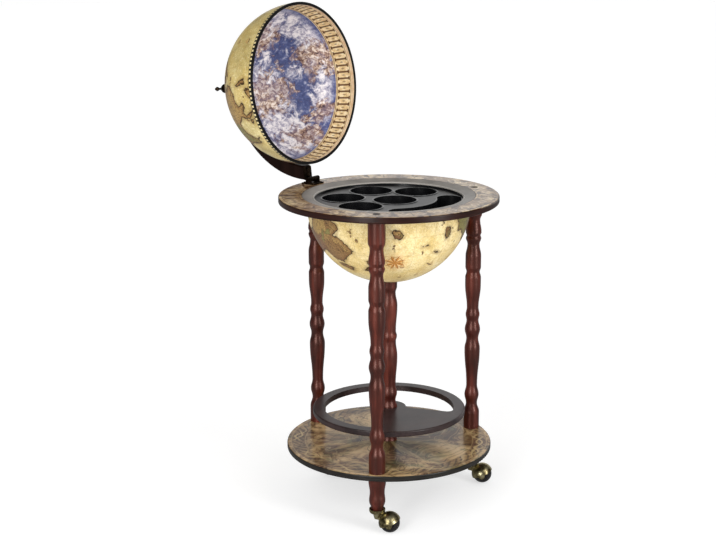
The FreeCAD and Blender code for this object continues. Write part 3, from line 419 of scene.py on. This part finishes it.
# Globe: shores of an old-fashioned world map as longitude and latitude in degrees
LAND = {
    "africa": (
        "-6 36 10 37 11 33 20 31 25 32 32 31 34 27 37 21 43 12 51 12 49 6 42 -2 39 -7 41 -15 35 -20 "
        "35 -24 32 -28 28 -33 20 -35 18 -32 15 -26 12 -17 13 -9 9 -1 9 4 4 6 -4 5 -8 4 -13 9 -17 14 "
        "-16 21 -10 30"
    ),
    "europe and asia": (
        "-9 37 -9 43 -1 44 -2 48 3 51 8 54 8 57 12 54 20 55 24 59 30 60 22 61 21 63 25 65 18 62 "
        "17 58 12 56 8 58 5 61 14 67 25 71 40 67 44 66 46 68 60 69 68 69 72 73 80 73 100 76 113 74 "
        "130 71 140 73 160 70 178 69 190 66 178 63 170 60 163 58 157 51 156 57 160 61 143 59 135 54 "
        "141 52 135 44 129 41 129 36 126 35 125 39 121 40 118 38 122 37 119 35 122 31 121 27 114 22 "
        "108 21 106 18 109 12 105 9 101 13 99 10 103 3 101 3 98 8 97 17 92 22 87 21 80 15 80 10 77 8 "
        "73 17 72 21 67 25 57 26 51 28 48 30 50 26 56 25 59 22 52 16 45 13 43 15 39 21 35 28 34 31 "
        "36 36 28 37 27 40 23 40 23 37 20 40 14 45 12 44 18 40 16 38 10 44 4 43 0 40 -2 37 -6 36"
    ),
    "britain": "-5 50 1 51 0 54 -2 57 -5 58 -5 54 -3 53",
    "iceland": "-24 65 -14 65 -18 63",
    "japan": "130 32 136 34 141 36 142 40 145 43 141 45 140 41 136 37 131 34",
    "borneo": "109 1 113 3 117 7 119 5 117 0 115 -4 110 -2",
    "sumatra": "95 6 104 -2 105 -6 101 -3 97 2",
    "java": "105 -6 114 -7 114 -9 106 -8",
    "celebes": "119 0 125 2 121 -1 123 -5 120 -6 119 -3",
    "philippines": "120 18 122 18 124 13 126 7 122 7 122 11 120 14",
    "southern land": (
        "112 -20 120 -14 126 -6 130 -1 138 -2 148 -5 154 -11 149 -16 158 -21 162 -27 156 -33 149 -39 "
        "140 -38 135 -34 131 -31 124 -33 115 -35 112 -27"
    ),
    "southern island": "140 -42 147 -41 156 -44 152 -48 144 -46",
    "new zealand": "173 -35 178 -38 174 -42 170 -46 167 -46 172 -41 174 -39",
    "ocean isle west": "-166 -11 -162 -10 -159 -13 -162 -16 -165 -15",
    "ocean isle south": "-145 -22 -139 -21 -138 -23 -144 -24",
    "ocean islet": "-131 -28 -128 -28 -127 -30",
    "ocean isle east": "-125 -11 -121 -13 -121 -18 -124 -19 -126 -15",
    "madagascar": "49 -12 50 -16 47 -25 44 -23 44 -17",
    "ceylon": "80 9 82 7 81 6",
    "north america": (
        "-168 66 -156 71 -140 70 -125 70 -110 68 -95 68 -94 72 -85 69 -82 67 -93 62 -94 59 -85 55 "
        "-80 52 -79 55 -77 62 -70 61 -64 59 -56 53 -60 50 -66 50 -64 46 -61 46 -66 44 -70 43 -74 40 "
        "-76 35 -81 31 -80 26 -83 30 -90 29 -97 28 -97 22 -94 18 -90 21 -87 21 -88 16 -83 15 -83 10 "
        "-78 9 -82 8 -87 13 -94 16 -105 20 -110 26 -114 31 -110 23 -116 31 -121 35 -124 42 -124 48 "
        "-132 56 -145 60 -152 59 -160 55 -157 59 -165 62"
    ),
    "greenland": "-45 60 -40 65 -22 70 -20 77 -30 83 -58 82 -70 77 -55 70 -52 65",
    "baffin": "-62 66 -68 70 -80 73 -88 73 -75 68 -72 63 -65 63",
    "cuba": "-84 22 -77 20 -75 20 -80 23",
    "hispaniola": "-74 20 -69 19 -71 18",
    "south america": (
        "-78 8 -72 12 -62 10 -52 5 -50 0 -44 -3 -35 -6 -39 -13 -41 -22 -48 -26 -54 -34 -58 -38 "
        "-65 -41 -66 -46 -69 -51 -68 -55 -82 -52 -88 -42 -92 -30 -100 -20 -110 -14 -116 -5 -106 2 "
        "-88 6"
    ),
}
WATER = {
    "black sea": "28 43 33 46 38 45 41 42 35 42 31 41",
    "caspian sea": "47 45 52 46 53 42 54 37 50 37 49 41",
}
SOUTH_SHORE = -70.0  # latitude of the land round the south pole
FAR_SHORE = 30.0  # degrees past which the distance to a shore isn't kept
BOWL_TURN = 26.0  # azimuth of the prime meridian, in degrees
LID_TURN = 64.0
FULL_TURNS = 720.0  # added to longitudes, so that all are positive
GRID = 15.0  # degrees between meridians and between parallels
TICK = 3.0  # degrees between the ticks of the scale
GREEN_LAND = (600.0, 624.0)  # longitudes, with the full turns added
COUNTRY_SCALE = 4.6
COUNTRY_TINTS = [(0.0, "a5844a"), (0.24, "805a33"), (0.44, "74733c"), (0.62, "9a7844"), (0.80, "744a36")]
SHIP_CELL = (24.0, 16.0)  # degrees of longitude and latitude
ROSE = (-164.0, -36.0)  # longitude and latitude
# Points of the rose on the map: count, reach in degrees and the tones of their halves
ROSE_POINTS = ((16.0, 5.0, "d9a552", "8f5a2c"), (8.0, 7.5, "c98a45", "6d3418"))
# Paper tones of the bowl and of the lid: the lid's darker, more olive tones are partly its own tint and
# partly painted shade
BOWL_PAPER = ("cfb172", "e8d193", "f5e4b4")
LID_PAPER_SHADED = ("96854c", "bfac70", "ddd098")
SHELL_STEPS = 480  # round the axis
LINING_STEPS = 360
PRINT_POINTS = 110  # along a profile, on the printed side of a shell
BACK_POINTS = 60  # on the side that hardly shows
SKY_POINTS = 90
SHARP_ANGLE = math.radians(35)


def shore_distance(lon, lat, text):
    """Degrees to one outline, positive inside it."""
    corners = np.array(text.split(), float).reshape(-1, 2)
    middle = corners[:, 0].mean()
    x = ((lon - middle + 180) % 360 - 180)[:, None]
    y = lat[:, None]
    ax = corners[None, :, 0] - middle
    ay = corners[None, :, 1]
    bx = np.roll(ax, -1, 1)
    by = np.roll(ay, -1, 1)
    shrink = np.cos(np.radians(y))
    px, py = (x - ax) * shrink, y - ay
    dx, dy = (bx - ax) * shrink, by - ay
    along = np.clip((px * dx + py * dy) / (dx * dx + dy * dy + 1e-9), 0, 1)
    away = np.hypot(px - along * dx, py - along * dy).min(1)
    rise = np.where(by == ay, 1e-9, by - ay)
    crossed = ((ay > y) != (by > y)) & (x < (bx - ax) * (y - ay) / rise + ax)
    return np.where(crossed.sum(1) % 2 == 1, away, -away)


def coast(points, turn):
    """Degrees to the nearest shore for points about the centre of the globe, positive on land."""
    lon = np.degrees(np.arctan2(points[:, 1], points[:, 0])) - turn
    lat = np.degrees(np.arctan2(points[:, 2], np.hypot(points[:, 0], points[:, 1])))
    signed = SOUTH_SHORE - lat + 3 * np.sin(np.radians(3 * lon))
    for text in LAND.values():
        signed = np.maximum(signed, shore_distance(lon, lat, text))
    for text in WATER.values():
        signed = np.minimum(signed, -shore_distance(lon, lat, text))
    return np.clip(signed, -FAR_SHORE, FAR_SHORE)


def lathe(name, profile, steps, matrix):
    """Closed profile of (radius, height) spun about Z: the piece, and its points before the matrix."""
    profile = np.array(profile)
    count = len(profile)
    turns = np.linspace(0, math.tau, steps, endpoint=False)
    x = np.cos(turns)[:, None] * profile[None, :, 0]
    y = np.sin(turns)[:, None] * profile[None, :, 0]
    z = np.repeat(profile[None, :, 1], steps, 0)
    points = np.stack([x, y, z], -1).reshape(-1, 3)
    i = np.arange(steps)[:, None]
    j = np.arange(count)[None, :]
    k = (i + 1) % steps
    m = (j + 1) % count
    faces = np.stack([i * count + j, k * count + j, k * count + m, i * count + m], -1).reshape(-1, 4)
    mesh = bpy.data.meshes.new(name)
    mesh.from_pydata(points.tolist(), [], faces.tolist())
    mesh.transform(matrix)
    mesh.shade_smooth()
    mesh.set_sharp_from_angle(angle=SHARP_ANGLE)
    thing = bpy.data.objects.new(name, mesh)
    bpy.context.scene.collection.objects.link(thing)
    return thing, points


def arc(radius, start, end, centre, count):
    """Profile points on a circle about a point on the axis, between two latitudes in degrees."""
    turns = np.radians(np.linspace(start, end, count))
    return [(radius * math.cos(t), centre + radius * math.sin(t)) for t in turns]


def hole_latitude(radius, hole):
    """Latitude in degrees of the edge of a hole at the pole of a sphere."""
    return math.degrees(math.acos(hole / radius))


def edge_latitude(radius):
    """Latitude in degrees of the edge of the lid on a sphere."""
    return math.degrees(math.asin((LID_EDGE_Z - LID_Z) / radius))


def lid_profile(outer, inner, hole, outer_points, inner_points):
    """Outline of a thin shell from the edge of the lid up to the hole at its pole and back inside."""
    profile = arc(outer, edge_latitude(outer), hole_latitude(outer, hole), LID_Z, outer_points)
    return profile + arc(inner, hole_latitude(inner, hole), edge_latitude(inner), LID_Z, inner_points)


def map_shell(name, node, body, profile, centre, turn, matrix):
    thing, points = lathe(name, profile, SHELL_STEPS, matrix)
    field = thing.data.attributes.new("shore", "FLOAT", "POINT")
    field.data.foreach_set("value", coast(points - np.array([0, 0, centre]), turn).astype(np.float32))
    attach(thing, body)
    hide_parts(node)
    return thing


def build_shells():
    """Fine meshes of the bowl, the lid and its lining, in place of the CAD nodes."""
    inner = GLOBE_RADIUS - BOWL_WALL
    under, over = BOWL_FLANGE_Z
    profile = arc(GLOBE_RADIUS, -hole_latitude(GLOBE_RADIUS, BOWL_HOLE), 0, BOWL_Z, PRINT_POINTS)
    profile += [(GLOBE_RADIUS, under), (BOWL_FLANGE_RADIUS, under), (BOWL_FLANGE_RADIUS, over), (inner, over)]
    profile += arc(inner, 0, -hole_latitude(inner, BOWL_HOLE), BOWL_Z, BACK_POINTS)
    bowl = map_shell("bowl_map", "bowl_shell", "stand", profile, BOWL_Z, BOWL_TURN, Matrix.Identity(4))
    profile = lid_profile(GLOBE_RADIUS, GLOBE_RADIUS - LID_WALL, LID_HOLE, PRINT_POINTS, BACK_POINTS)
    lid = map_shell("lid_map", "lid_shell", "lid", profile, LID_Z, LID_TURN, OPEN)
    profile = lid_profile(LINING_OUTER, LINING_INNER, LINING_HOLE, BACK_POINTS, SKY_POINTS)
    lining = lathe("lid_sky", profile, LINING_STEPS, OPEN)[0]
    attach(lining, "lid")
    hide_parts("lid_lining")
    return bowl, lid, lining


def globe_place(paint, centre, turn, matrix):
    """Unit-globe coordinates, longitude and latitude in degrees."""
    shift = Matrix.Translation((0, 0, -centre)) @ matrix
    here = paint.place(shift, (1 / GLOBE_RADIUS,) * 3)
    x, y, z = paint.split(here)
    flat = (x * x + y * y).op("SQRT")
    longitude = y.op("ARCTAN2", x) * math.degrees(1) - turn + FULL_TURNS
    latitude = z.op("ARCTAN2", flat) * math.degrees(1)
    return here, longitude, latitude


def sea_paper(paint, here, paper, stains, fibre, fleck):
    """Aged paper with golden patches, stains and flecks."""
    age = paint.noise(here, 3.0, 6.0, 0.6)
    water = paint.ramp(age * 0.75 + fibre * 0.25, list(zip((0.34, 0.48, 0.62), paper)))
    water = paint.mix(paint.noise(here, 2.6, 4.0, 0.6).step(0.48, 0.62) * 0.40, water, "c8a64a")
    water = paint.mix(stains.step(0.54, 0.70) * 0.40, water, "b89a5c")
    water = paint.mix(fleck.step(0.53, 0.66) * 0.50, water, "b58c48")
    return paint.mix(fleck.step(0.45, 0.34) * 0.40, water, "fff4d4")


def land_tints(paint, here, longitude, shore, stains):
    """Tints of hand-coloured maps, browner along the shores, with ridges, borders and hills."""
    drift = paint.node("ShaderNodeTexNoise", "Color", {"Vector": here, "Scale": 5.0, "Detail": 4.0})
    wander = paint.mix(0.35, here, drift)
    country = paint.split(paint.cells(wander, COUNTRY_SCALE, output="Color"))[0]
    tint = paint.ramp(country, COUNTRY_TINTS)
    tint.socket.node.color_ramp.interpolation = "CONSTANT"
    ground = paint.mix(stains * 0.32, tint, "c9ad74")
    ground = paint.mix(longitude.band(*GREEN_LAND, 6.0) * 0.65, ground, "707c3c")
    ground = paint.mix(shore.step(3.0, 0.2) * 0.60, ground, "7c4f2a")
    ridge = (paint.noise(here, 8.0, 3.0, 0.55, 0.8) * 11.0).op("FRACT").band(0.44, 0.54, 0.06)
    ground = paint.mix(ridge * 0.85, ground, "2c1808")
    border = paint.cells(wander, COUNTRY_SCALE, "DISTANCE_TO_EDGE").step(0.018, 0.008)
    hills = paint.cells(here, 40.0).step(0.26, 0.14) * paint.noise(here, 6.0, 2.0).step(0.46, 0.54)
    return paint.mix((border * 0.7 + hills * 0.75).op("MINIMUM", 1.0), ground, "5d3d22")


def ships(paint, colour, longitude, latitude):
    """Small ships on the open sea: a hull and two sails in some cells of a grid."""
    cell_width, cell_height = SHIP_CELL
    column = longitude / cell_width
    row = latitude / cell_height + 8.0
    square = paint.join(column.op("FLOOR"), row.op("FLOOR"), 0.0)
    chance = paint.node("ShaderNodeTexWhiteNoise", "Color", {"Vector": square})
    pick, jog, lift = paint.split(chance)
    u = (column.op("FRACT") - 0.5 - (jog - 0.5) * 0.4) * cell_width
    v = (row.op("FRACT") - 0.5 - (lift - 0.5) * 0.4) * cell_height
    wide = u.op("ABSOLUTE")
    hull = (v * 0.9 + 2.6 - wide).step(-0.1, 0.1) * v.band(-1.3, -0.3, 0.1)
    sail = (wide + v * 0.55 - 2.4).step(0.1, -0.1) * v.band(0.1, 3.3, 0.1) * (wide - 0.12).step(0.0, 0.1)
    open_sea = paint.attribute("shore").step(-5.0, -6.5)
    shown = open_sea * pick.step(0.54, 0.56) * latitude.op("ABSOLUTE").step(62.0, 58.0)
    colour = paint.mix(hull * shown * 0.85, colour, "5b3a20")
    return paint.mix(sail * shown * 0.55, colour, "a4763f")


def compass_rose(paint, colour, longitude, latitude, fleck):
    """Long and short points with a light and a dark half, a ring, and a warm glow round them."""
    rose_longitude, rose_latitude = ROSE
    east = (longitude - (rose_longitude + FULL_TURNS)) * math.cos(math.radians(rose_latitude))
    away, bearing = polar(east, latitude - rose_latitude)
    for points, reach, light, dark in ROSE_POINTS:
        share = bearing.wave(points) - 0.5
        narrow = (away * -1.0 + reach) * (0.5 / reach)
        point = (share.op("ABSOLUTE") - narrow).step(0.03, -0.03) * away.step(reach, reach - 0.3)
        colour = paint.mix(point * 0.9, colour, paint.mix(share.step(-0.03, 0.03), light, dark))
    colour = paint.mix(away.band(5.2, 5.5, 0.1) * 0.8, colour, "5b3a20")
    return paint.mix(away.step(13.0, 3.0) * (fleck * 0.9 - 0.1), colour, "d98f34")


def edge_scale(paint, colour, longitude, latitude):
    """Graduated scale along the edge of the northern half."""
    tick = (longitude / TICK).wave(1.0).band(0.06, 0.52, 0.03)
    scale = latitude.band(-0.2, 1.9, 0.05) * latitude.step(0.0, 0.1)
    colour = paint.mix(scale * tick, colour, "d9c894")
    colour = paint.mix(scale * (tick * -1.0 + 1.0), colour, "14110e")
    return paint.mix(latitude.band(1.9, 2.2, 0.05), colour, "1c1712")


def map_print(name, centre, turn, matrix, paper):
    paint = Paint(name, Coat_Weight=0.15, Coat_Roughness=0.2, Specular_IOR_Level=0.35)
    here, longitude, latitude = globe_place(paint, centre, turn, matrix)
    rough = paint.noise(here, 7.0, 8.0, 0.62)
    isles = (paint.noise(here, 8.0, 4.0, 0.55) - 0.69) * 60.0
    shore = (paint.attribute("shore") + (rough - 0.5) * 9.0).op("MAXIMUM", isles)
    land = shore.step(-0.12, 0.12)
    stains = paint.noise(here, 11.0, 5.0, 0.6, 0.4)
    fibre = paint.noise(here, 160.0, 3.0, 0.6)
    fleck = paint.noise(here, 46.0, 4.0, 0.7)
    water = sea_paper(paint, here, paper, stains, fibre, fleck)
    # Hatching along the shore
    hatch = (latitude * (math.tau / 0.9)).op("SINE").step(-0.3, 0.5) * 0.5 + 0.3
    water = paint.mix(shore.step(-3.2, -0.2) * hatch * 0.85, water, "7b5a30")
    colour = paint.mix(land, water, land_tints(paint, here, longitude, shore, stains))
    coastline = shore.op("ABSOLUTE").step(0.60, 0.20)
    colour = paint.mix(coastline * 0.95, colour, "28160a")
    etch = paint.noise(here, 60.0, 4.0, 0.6, 1.5)
    colour = paint.mix(etch.step(0.55, 0.64) * (land * 0.45 + 0.32), colour, "4c391c")
    # Meridians and parallels
    meridians = (longitude / GRID).line(1.0, 0.022)
    grid = meridians.op("MAXIMUM", (latitude / GRID + 10.0).line(1.0, 0.020))
    colour = paint.mix(grid * 0.24, colour, "7d5c34")
    colour = ships(paint, colour, longitude, latitude)
    colour = compass_rose(paint, colour, longitude, latitude, fleck)
    colour = edge_scale(paint, colour, longitude, latitude)
    # Plain paper colour inside the shell
    radius = paint.node("ShaderNodeVectorMath", "Value", {0: here}, operation="LENGTH")
    outside = radius.step(0.990, 0.994)
    paint.give("Base Color", paint.mix(outside, "8d7a5c", colour))
    paint.give("Roughness", stains * 0.16 + 0.26)
    paint.bump(fibre, 0.05, 0.0002)
    return paint


# Sunlit banks of cloud in the lid: centre on the unit globe and size
SUNLIT = [
    (0.31, 0.14, 0.92, 0.30), (0.82, -0.30, 0.43, 0.27), (0.40, 0.74, 0.50, 0.30),
    (0.10, -0.62, 0.75, 0.24), (-0.45, 0.55, 0.66, 0.30), (-0.55, -0.45, 0.66, 0.32),
    (-0.85, 0.10, 0.45, 0.26), (0.80, 0.41, 0.39, 0.16),
]
# Ornament band along the edge of the lining, in degrees of latitude and longitude
BAND_TOP = (16.6, 16.2)
BAND_LINES = ((15.2, 15.9), (3.2, 3.6))
COLUMN_PITCH = 5.0
COLUMN_MIDDLE = 9.4
COLUMN_HALF = 5.2


def sky_print():
    paint = Paint("sky_print", Specular_IOR_Level=0.3)
    here, longitude, latitude = globe_place(paint, LID_Z, LID_TURN, CLOSE)
    large = paint.noise(here, 2.1, 5.0, 0.6, 0.4)
    small = paint.noise(here, 8.0, 8.0, 0.68, 0.6)
    fine = paint.noise(here, 18.0, 7.0, 0.70, 0.5)
    cloud = (large * 0.65 + small * 0.35).step(0.455, 0.545) * latitude.step(16.0, 25.0)
    night = paint.ramp(small * 0.6 + fine * 0.4, [(0.36, "353d68"), (0.52, "545f90"), (0.64, "99a1c4")])
    puffs = paint.ramp(small * 0.5 + fine * 0.5, [(0.38, "5c5a7c"), (0.46, "aca7bc"), (0.55, "faf5f6")])
    colour = paint.mix(cloud, night, puffs)
    # Sunlit banks of cloud
    warm = paint.ramp(fine, [(0.37, "3c2b31"), (0.44, "846152"), (0.51, "bf9c7e"), (0.58, "faecde")])
    warm = paint.mix(paint.noise(here, 6.0, 3.0).step(0.42, 0.58) * 0.45, warm, "8d8098")
    banks = None
    for x, y, z, size in SUNLIT:
        near = paint.node("ShaderNodeVectorMath", "Value", {0: here, 1: (x, y, z)}, operation="DISTANCE")
        bank = near / size
        banks = bank if banks is None else banks.op("MINIMUM", bank)
    lit = (banks + (large - 0.5) * 2.0 + (small - 0.5) * 4.0).step(1.10, 0.60)
    colour = paint.mix(lit * 0.9, colour, warm)
    # Little columns between two lines, with a lozenge in each gap
    band = latitude.step(*BAND_TOP)
    cell = (longitude / COLUMN_PITCH).wave(1.0) - 0.5
    beside = cell.op("ABSOLUTE")
    rise = (latitude - COLUMN_MIDDLE) / COLUMN_HALF
    column = beside.step(0.16, 0.11) * rise.op("ABSOLUTE").step(1.0, 0.94)
    foot = beside.step(0.30, 0.26) * rise.op("ABSOLUTE").band(0.80, 1.0, 0.05)
    plain = paint.ramp(paint.noise(here, 20.0, 4.0, 0.6), [(0.3, "cba876"), (0.5, "e4c894"), (0.7, "f6e6c2")])
    lozenge = ((beside * -1.0 + 0.5) * 3.0 + (rise * 1.3).op("ABSOLUTE")).step(0.46, 0.36)
    ink = (column * 0.95 + foot * 0.9 + lozenge * 0.6).op("MINIMUM", 1.0)
    trim = paint.mix(ink, plain, "5c3a22")
    upper, lower = BAND_LINES
    lines = latitude.band(*upper, 0.1) + latitude.band(*lower, 0.1)
    trim = paint.mix(lines.op("MINIMUM", 1.0) * 0.7, trim, "6b4a38")
    paint.give("Base Color", paint.mix(band, colour, trim))
    paint.give("Roughness", small * 0.15 + 0.38)
    paint.bump(small, 0.03, 0.0003)
    return paint


# Strip on the lip of the rim: radii that bound it, foot and the line on it, in metres with the lid closed
LIP_RADII = (0.1618, 0.1612)
LIP_FOOT = (0.6440, 0.6444)
LIP_LINE = (0.6470, 0.6475)


def rim_trim():
    """Black trim with a printed strip on the lip inside the lid."""
    paint = Paint("rim_trim", Specular_IOR_Level=0.3)
    here = paint.place(CLOSE)
    x, y, z = paint.split(here)
    fine = paint.noise(here, 800.0, 2.0, 0.5)
    black = paint.mix(paint.noise(here, 35.0), "0a0909", "161414")
    strip = paint.ramp(paint.noise(here, 60.0, 4.0, 0.6), [(0.3, "d6b083"), (0.7, "f4dcb4")])
    strip = paint.mix(z.band(*LIP_LINE, 0.0002) * 0.7, strip, "6b4a38")
    inside = polar(x, y)[0].step(*LIP_RADII) * z.step(*LIP_FOOT)
    paint.give("Base Color", paint.mix(inside, black, strip))
    paint.give("Roughness", fine * 0.14 + 0.30)
    paint.bump(fine, 0.08, 0.0002)
    return paint


bowl, lid, lining = build_shells()
wear(bowl.name, paint=map_print("bowl_print", BOWL_Z, BOWL_TURN, Matrix.Identity(4), BOWL_PAPER))
wear(lid.name, paint=map_print("lid_print", LID_Z, LID_TURN, CLOSE, LID_PAPER_SHADED))
wear(lining.name, paint=sky_print())
wear("bottom_shelf", paint=shelf_board())
wear("table_ring", paint=ring_board())
wear("bottle_rack", paint=rack_board())
wear("bar_liner", paint=liner_plastic())
wear("liner_deck", paint=plastic("deck_plastic", "0b0b0d", "141416", 0.24, 900.0, 0.22))
wear("bottle_wells", "liner_trough", paint=plastic("well_plastic", "0b0b0d", "161618", 0.20, 900.0))
mahogany = lacquered_wood("mahogany", "140302", "3a100a", "66281b", 0.9)
wear(*each_side("leg", "foot"), "column_lower", "column_upper", paint=mahogany)
wear("meridian_arm", paint=lacquered_wood("dark_wood", "080302", "110705", "1d0f0b", 0.2))
wear("lid_rim", paint=rim_trim())
wear("bolt_caps", paint=plastic("cap_plastic", "1c110d", "2c1b15", 0.45, 900.0, 0.15))
wear(*each_side("caster_wheel"), paint=plastic("ball_plastic", "0f0e0e", "1d1b1a", 0.26, 800.0))
bronze = metal("dark_bronze", "43352a", "2a2019", "130d0a", 0.34)
wear("hinge_base", "hinge_leaf", "hinge_pin", "finial", "pole_spacer", paint=bronze)
bronze_screws = metal("bronze_screws", "6a5741", "43362a", "211a14", 0.30)
wear("hinge_base_screws", "hinge_leaf_screws", paint=bronze_screws)
brass = metal("antique_brass", "cdc49c", "988c66", "483e28", 0.24)
wear(*each_side("caster_cup", "caster_hood", "caster_axle"), paint=brass)
wear("pole_washer", "pole_bolt", paint=metal("pole_brass", "c2a468", "98803f", "5e4b28", 0.24))
steel = metal("zinc_steel", "b4b6b8", "97999b", "6a6b6d", 0.28)
wear("leg_studs", "leg_bolts", "column_rod", "rod_washer", "rod_nut", paint=steel)
wear("bowl_screws", "bowl_seat_screw", *each_side("caster_sleeve", "caster_stem"), paint=steel)


# Stage: pale floor, soft light and the camera of the photograph
FLOOR_RADIUS = 14.0
FLOOR_CORNERS = 96
FLOOR_COLOUR = 0.56
FLOOR_COLOUR_MIRRORED = 0.16  # in reflections
FLOOR_GLOW = 0.58
FLOOR_GLOW_MIRRORED = 0.14
WORLD_SEEN = 1.0  # by the camera and through glass
WORLD_LIGHT = 0.50  # on the object
WORLD_MIRRORED = 0.06  # in reflections, away from the backdrop
BACKDROP_MIRRORED = 1.0
BACKDROP = (0.951, 0.309, 0.0)  # direction
BACKDROP_EDGE = (0.76, 0.93)  # cosines of the angle from it
SUN_SPREAD = math.radians(36)
SUNS = (("key", 186, 33, 0.82), ("fill", 260, 36, 0.66))  # azimuth, height and strength
STRIPS = (("strip_left", 193, 42.0), ("strip_right", 266, 42.0))  # azimuth and power
STRIP_SIZE = (0.6, 1.9)
STRIP_DISTANCE = 3.4
STRIP_HEIGHT = 1.0
CAMERA_PLACE = (-2.42004, -1.81904, 1.24962)
CAMERA_YAW = 0.66512  # radians, as are the next two
CAMERA_PITCH = 0.24704
CAMERA_ROLL = -0.00547
CAMERA_LENS = 77.55
CAMERA_SENSOR = 36.0


def floor_paint():
    """White floor that keeps a pale shadow: plain diffuse with a glow, dimmer in reflections."""
    material = bpy.data.materials.new("floor_white")
    material.use_nodes = True
    tree = material.node_tree
    tree.nodes.clear()
    output = tree.nodes.new("ShaderNodeOutputMaterial")
    diffuse = tree.nodes.new("ShaderNodeBsdfDiffuse")
    glow = tree.nodes.new("ShaderNodeEmission")
    path = tree.nodes.new("ShaderNodeLightPath")
    mirrored = Value(tree, path.outputs["Is Glossy Ray"])
    feed(tree, diffuse.inputs["Color"], mirrored * (FLOOR_COLOUR_MIRRORED - FLOOR_COLOUR) + FLOOR_COLOUR)
    feed(tree, glow.inputs["Strength"], mirrored * (FLOOR_GLOW_MIRRORED - FLOOR_GLOW) + FLOOR_GLOW)
    add = tree.nodes.new("ShaderNodeAddShader")
    tree.links.new(diffuse.outputs[0], add.inputs[0])
    tree.links.new(glow.outputs[0], add.inputs[1])
    tree.links.new(add.outputs[0], output.inputs[0])
    return material


def build_floor():
    turns = np.linspace(0, math.tau, FLOOR_CORNERS, endpoint=False)
    corners = [(FLOOR_RADIUS * math.cos(t), FLOOR_RADIUS * math.sin(t), 0) for t in turns]
    mesh = bpy.data.meshes.new("floor")
    mesh.from_pydata(corners, [], [list(range(FLOOR_CORNERS))])
    mesh.materials.append(floor_paint())
    floor = bpy.data.objects.new("floor", mesh)
    bpy.context.scene.collection.objects.link(floor)


def build_world():
    """White to the camera, softer as light, and in reflections a dark room with a bright backdrop."""
    world = bpy.data.worlds.new("studio")
    bpy.context.scene.world = world
    world.use_nodes = True
    tree = world.node_tree
    back = tree.nodes["Background"]
    back.inputs["Color"].default_value = (1, 1, 1, 1)
    path = tree.nodes.new("ShaderNodeLightPath")
    through = Value(tree, path.outputs["Is Transmission Ray"])
    seen = Value(tree, path.outputs["Is Camera Ray"]).op("MAXIMUM", through)
    glossy = Value(tree, path.outputs["Is Glossy Ray"])
    place = tree.nodes.new("ShaderNodeTexCoord")
    ahead = tree.nodes.new("ShaderNodeVectorMath")
    ahead.operation = "DOT_PRODUCT"
    tree.links.new(place.outputs["Generated"], ahead.inputs[0])
    ahead.inputs[1].default_value = BACKDROP
    backdrop = Value(tree, ahead.outputs["Value"]).step(*BACKDROP_EDGE)
    strength = seen * (WORLD_SEEN - WORLD_LIGHT) + WORLD_LIGHT + glossy * (WORLD_MIRRORED - WORLD_LIGHT)
    strength = strength + glossy * backdrop * (BACKDROP_MIRRORED - WORLD_MIRRORED)
    feed(tree, back.inputs["Strength"], strength)


def build_lamps():
    for name, azimuth, height, strength in SUNS:
        lamp = bpy.data.lights.new(name, "SUN")
        lamp.energy = strength
        lamp.angle = SUN_SPREAD
        thing = bpy.data.objects.new(name, lamp)
        thing.rotation_euler = (math.radians(90 - height), 0, math.radians(azimuth + 90))
        bpy.context.scene.collection.objects.link(thing)
    # Two tall softboxes draw the long highlights on the turned legs
    for name, azimuth, power in STRIPS:
        lamp = bpy.data.lights.new(name, "AREA")
        lamp.shape = "RECTANGLE"
        lamp.size, lamp.size_y = STRIP_SIZE
        lamp.energy = power
        thing = bpy.data.objects.new(name, lamp)
        turn = math.radians(azimuth)
        thing.location = (STRIP_DISTANCE * math.cos(turn), STRIP_DISTANCE * math.sin(turn), STRIP_HEIGHT)
        thing.rotation_euler = (math.radians(90), 0, turn + math.radians(90))
        thing.visible_camera = False
        bpy.context.scene.collection.objects.link(thing)


def build_camera():
    level_reach = math.cos(CAMERA_PITCH)
    ahead = (math.cos(CAMERA_YAW) * level_reach, math.sin(CAMERA_YAW) * level_reach, -math.sin(CAMERA_PITCH))
    forward = Vector(ahead)
    level = forward.cross(Vector((0, 0, 1))).normalized()
    upright = level.cross(forward)
    right = level * math.cos(CAMERA_ROLL) + upright * math.sin(CAMERA_ROLL)
    up = upright * math.cos(CAMERA_ROLL) - level * math.sin(CAMERA_ROLL)
    lens = bpy.data.cameras.new("camera")
    lens.sensor_fit = "HORIZONTAL"
    lens.sensor_width = CAMERA_SENSOR
    lens.lens = CAMERA_LENS
    lens.clip_end = 100.0
    camera = bpy.data.objects.new("camera", lens)
    turn = Matrix((right, up, -forward)).transposed().to_4x4()
    camera.matrix_world = Matrix.Translation(CAMERA_PLACE) @ turn
    bpy.context.scene.collection.objects.link(camera)
    bpy.context.scene.camera = camera


build_floor()
build_world()
build_lamps()
build_camera()
bpy.context.scene.view_settings.view_transform = "Standard"
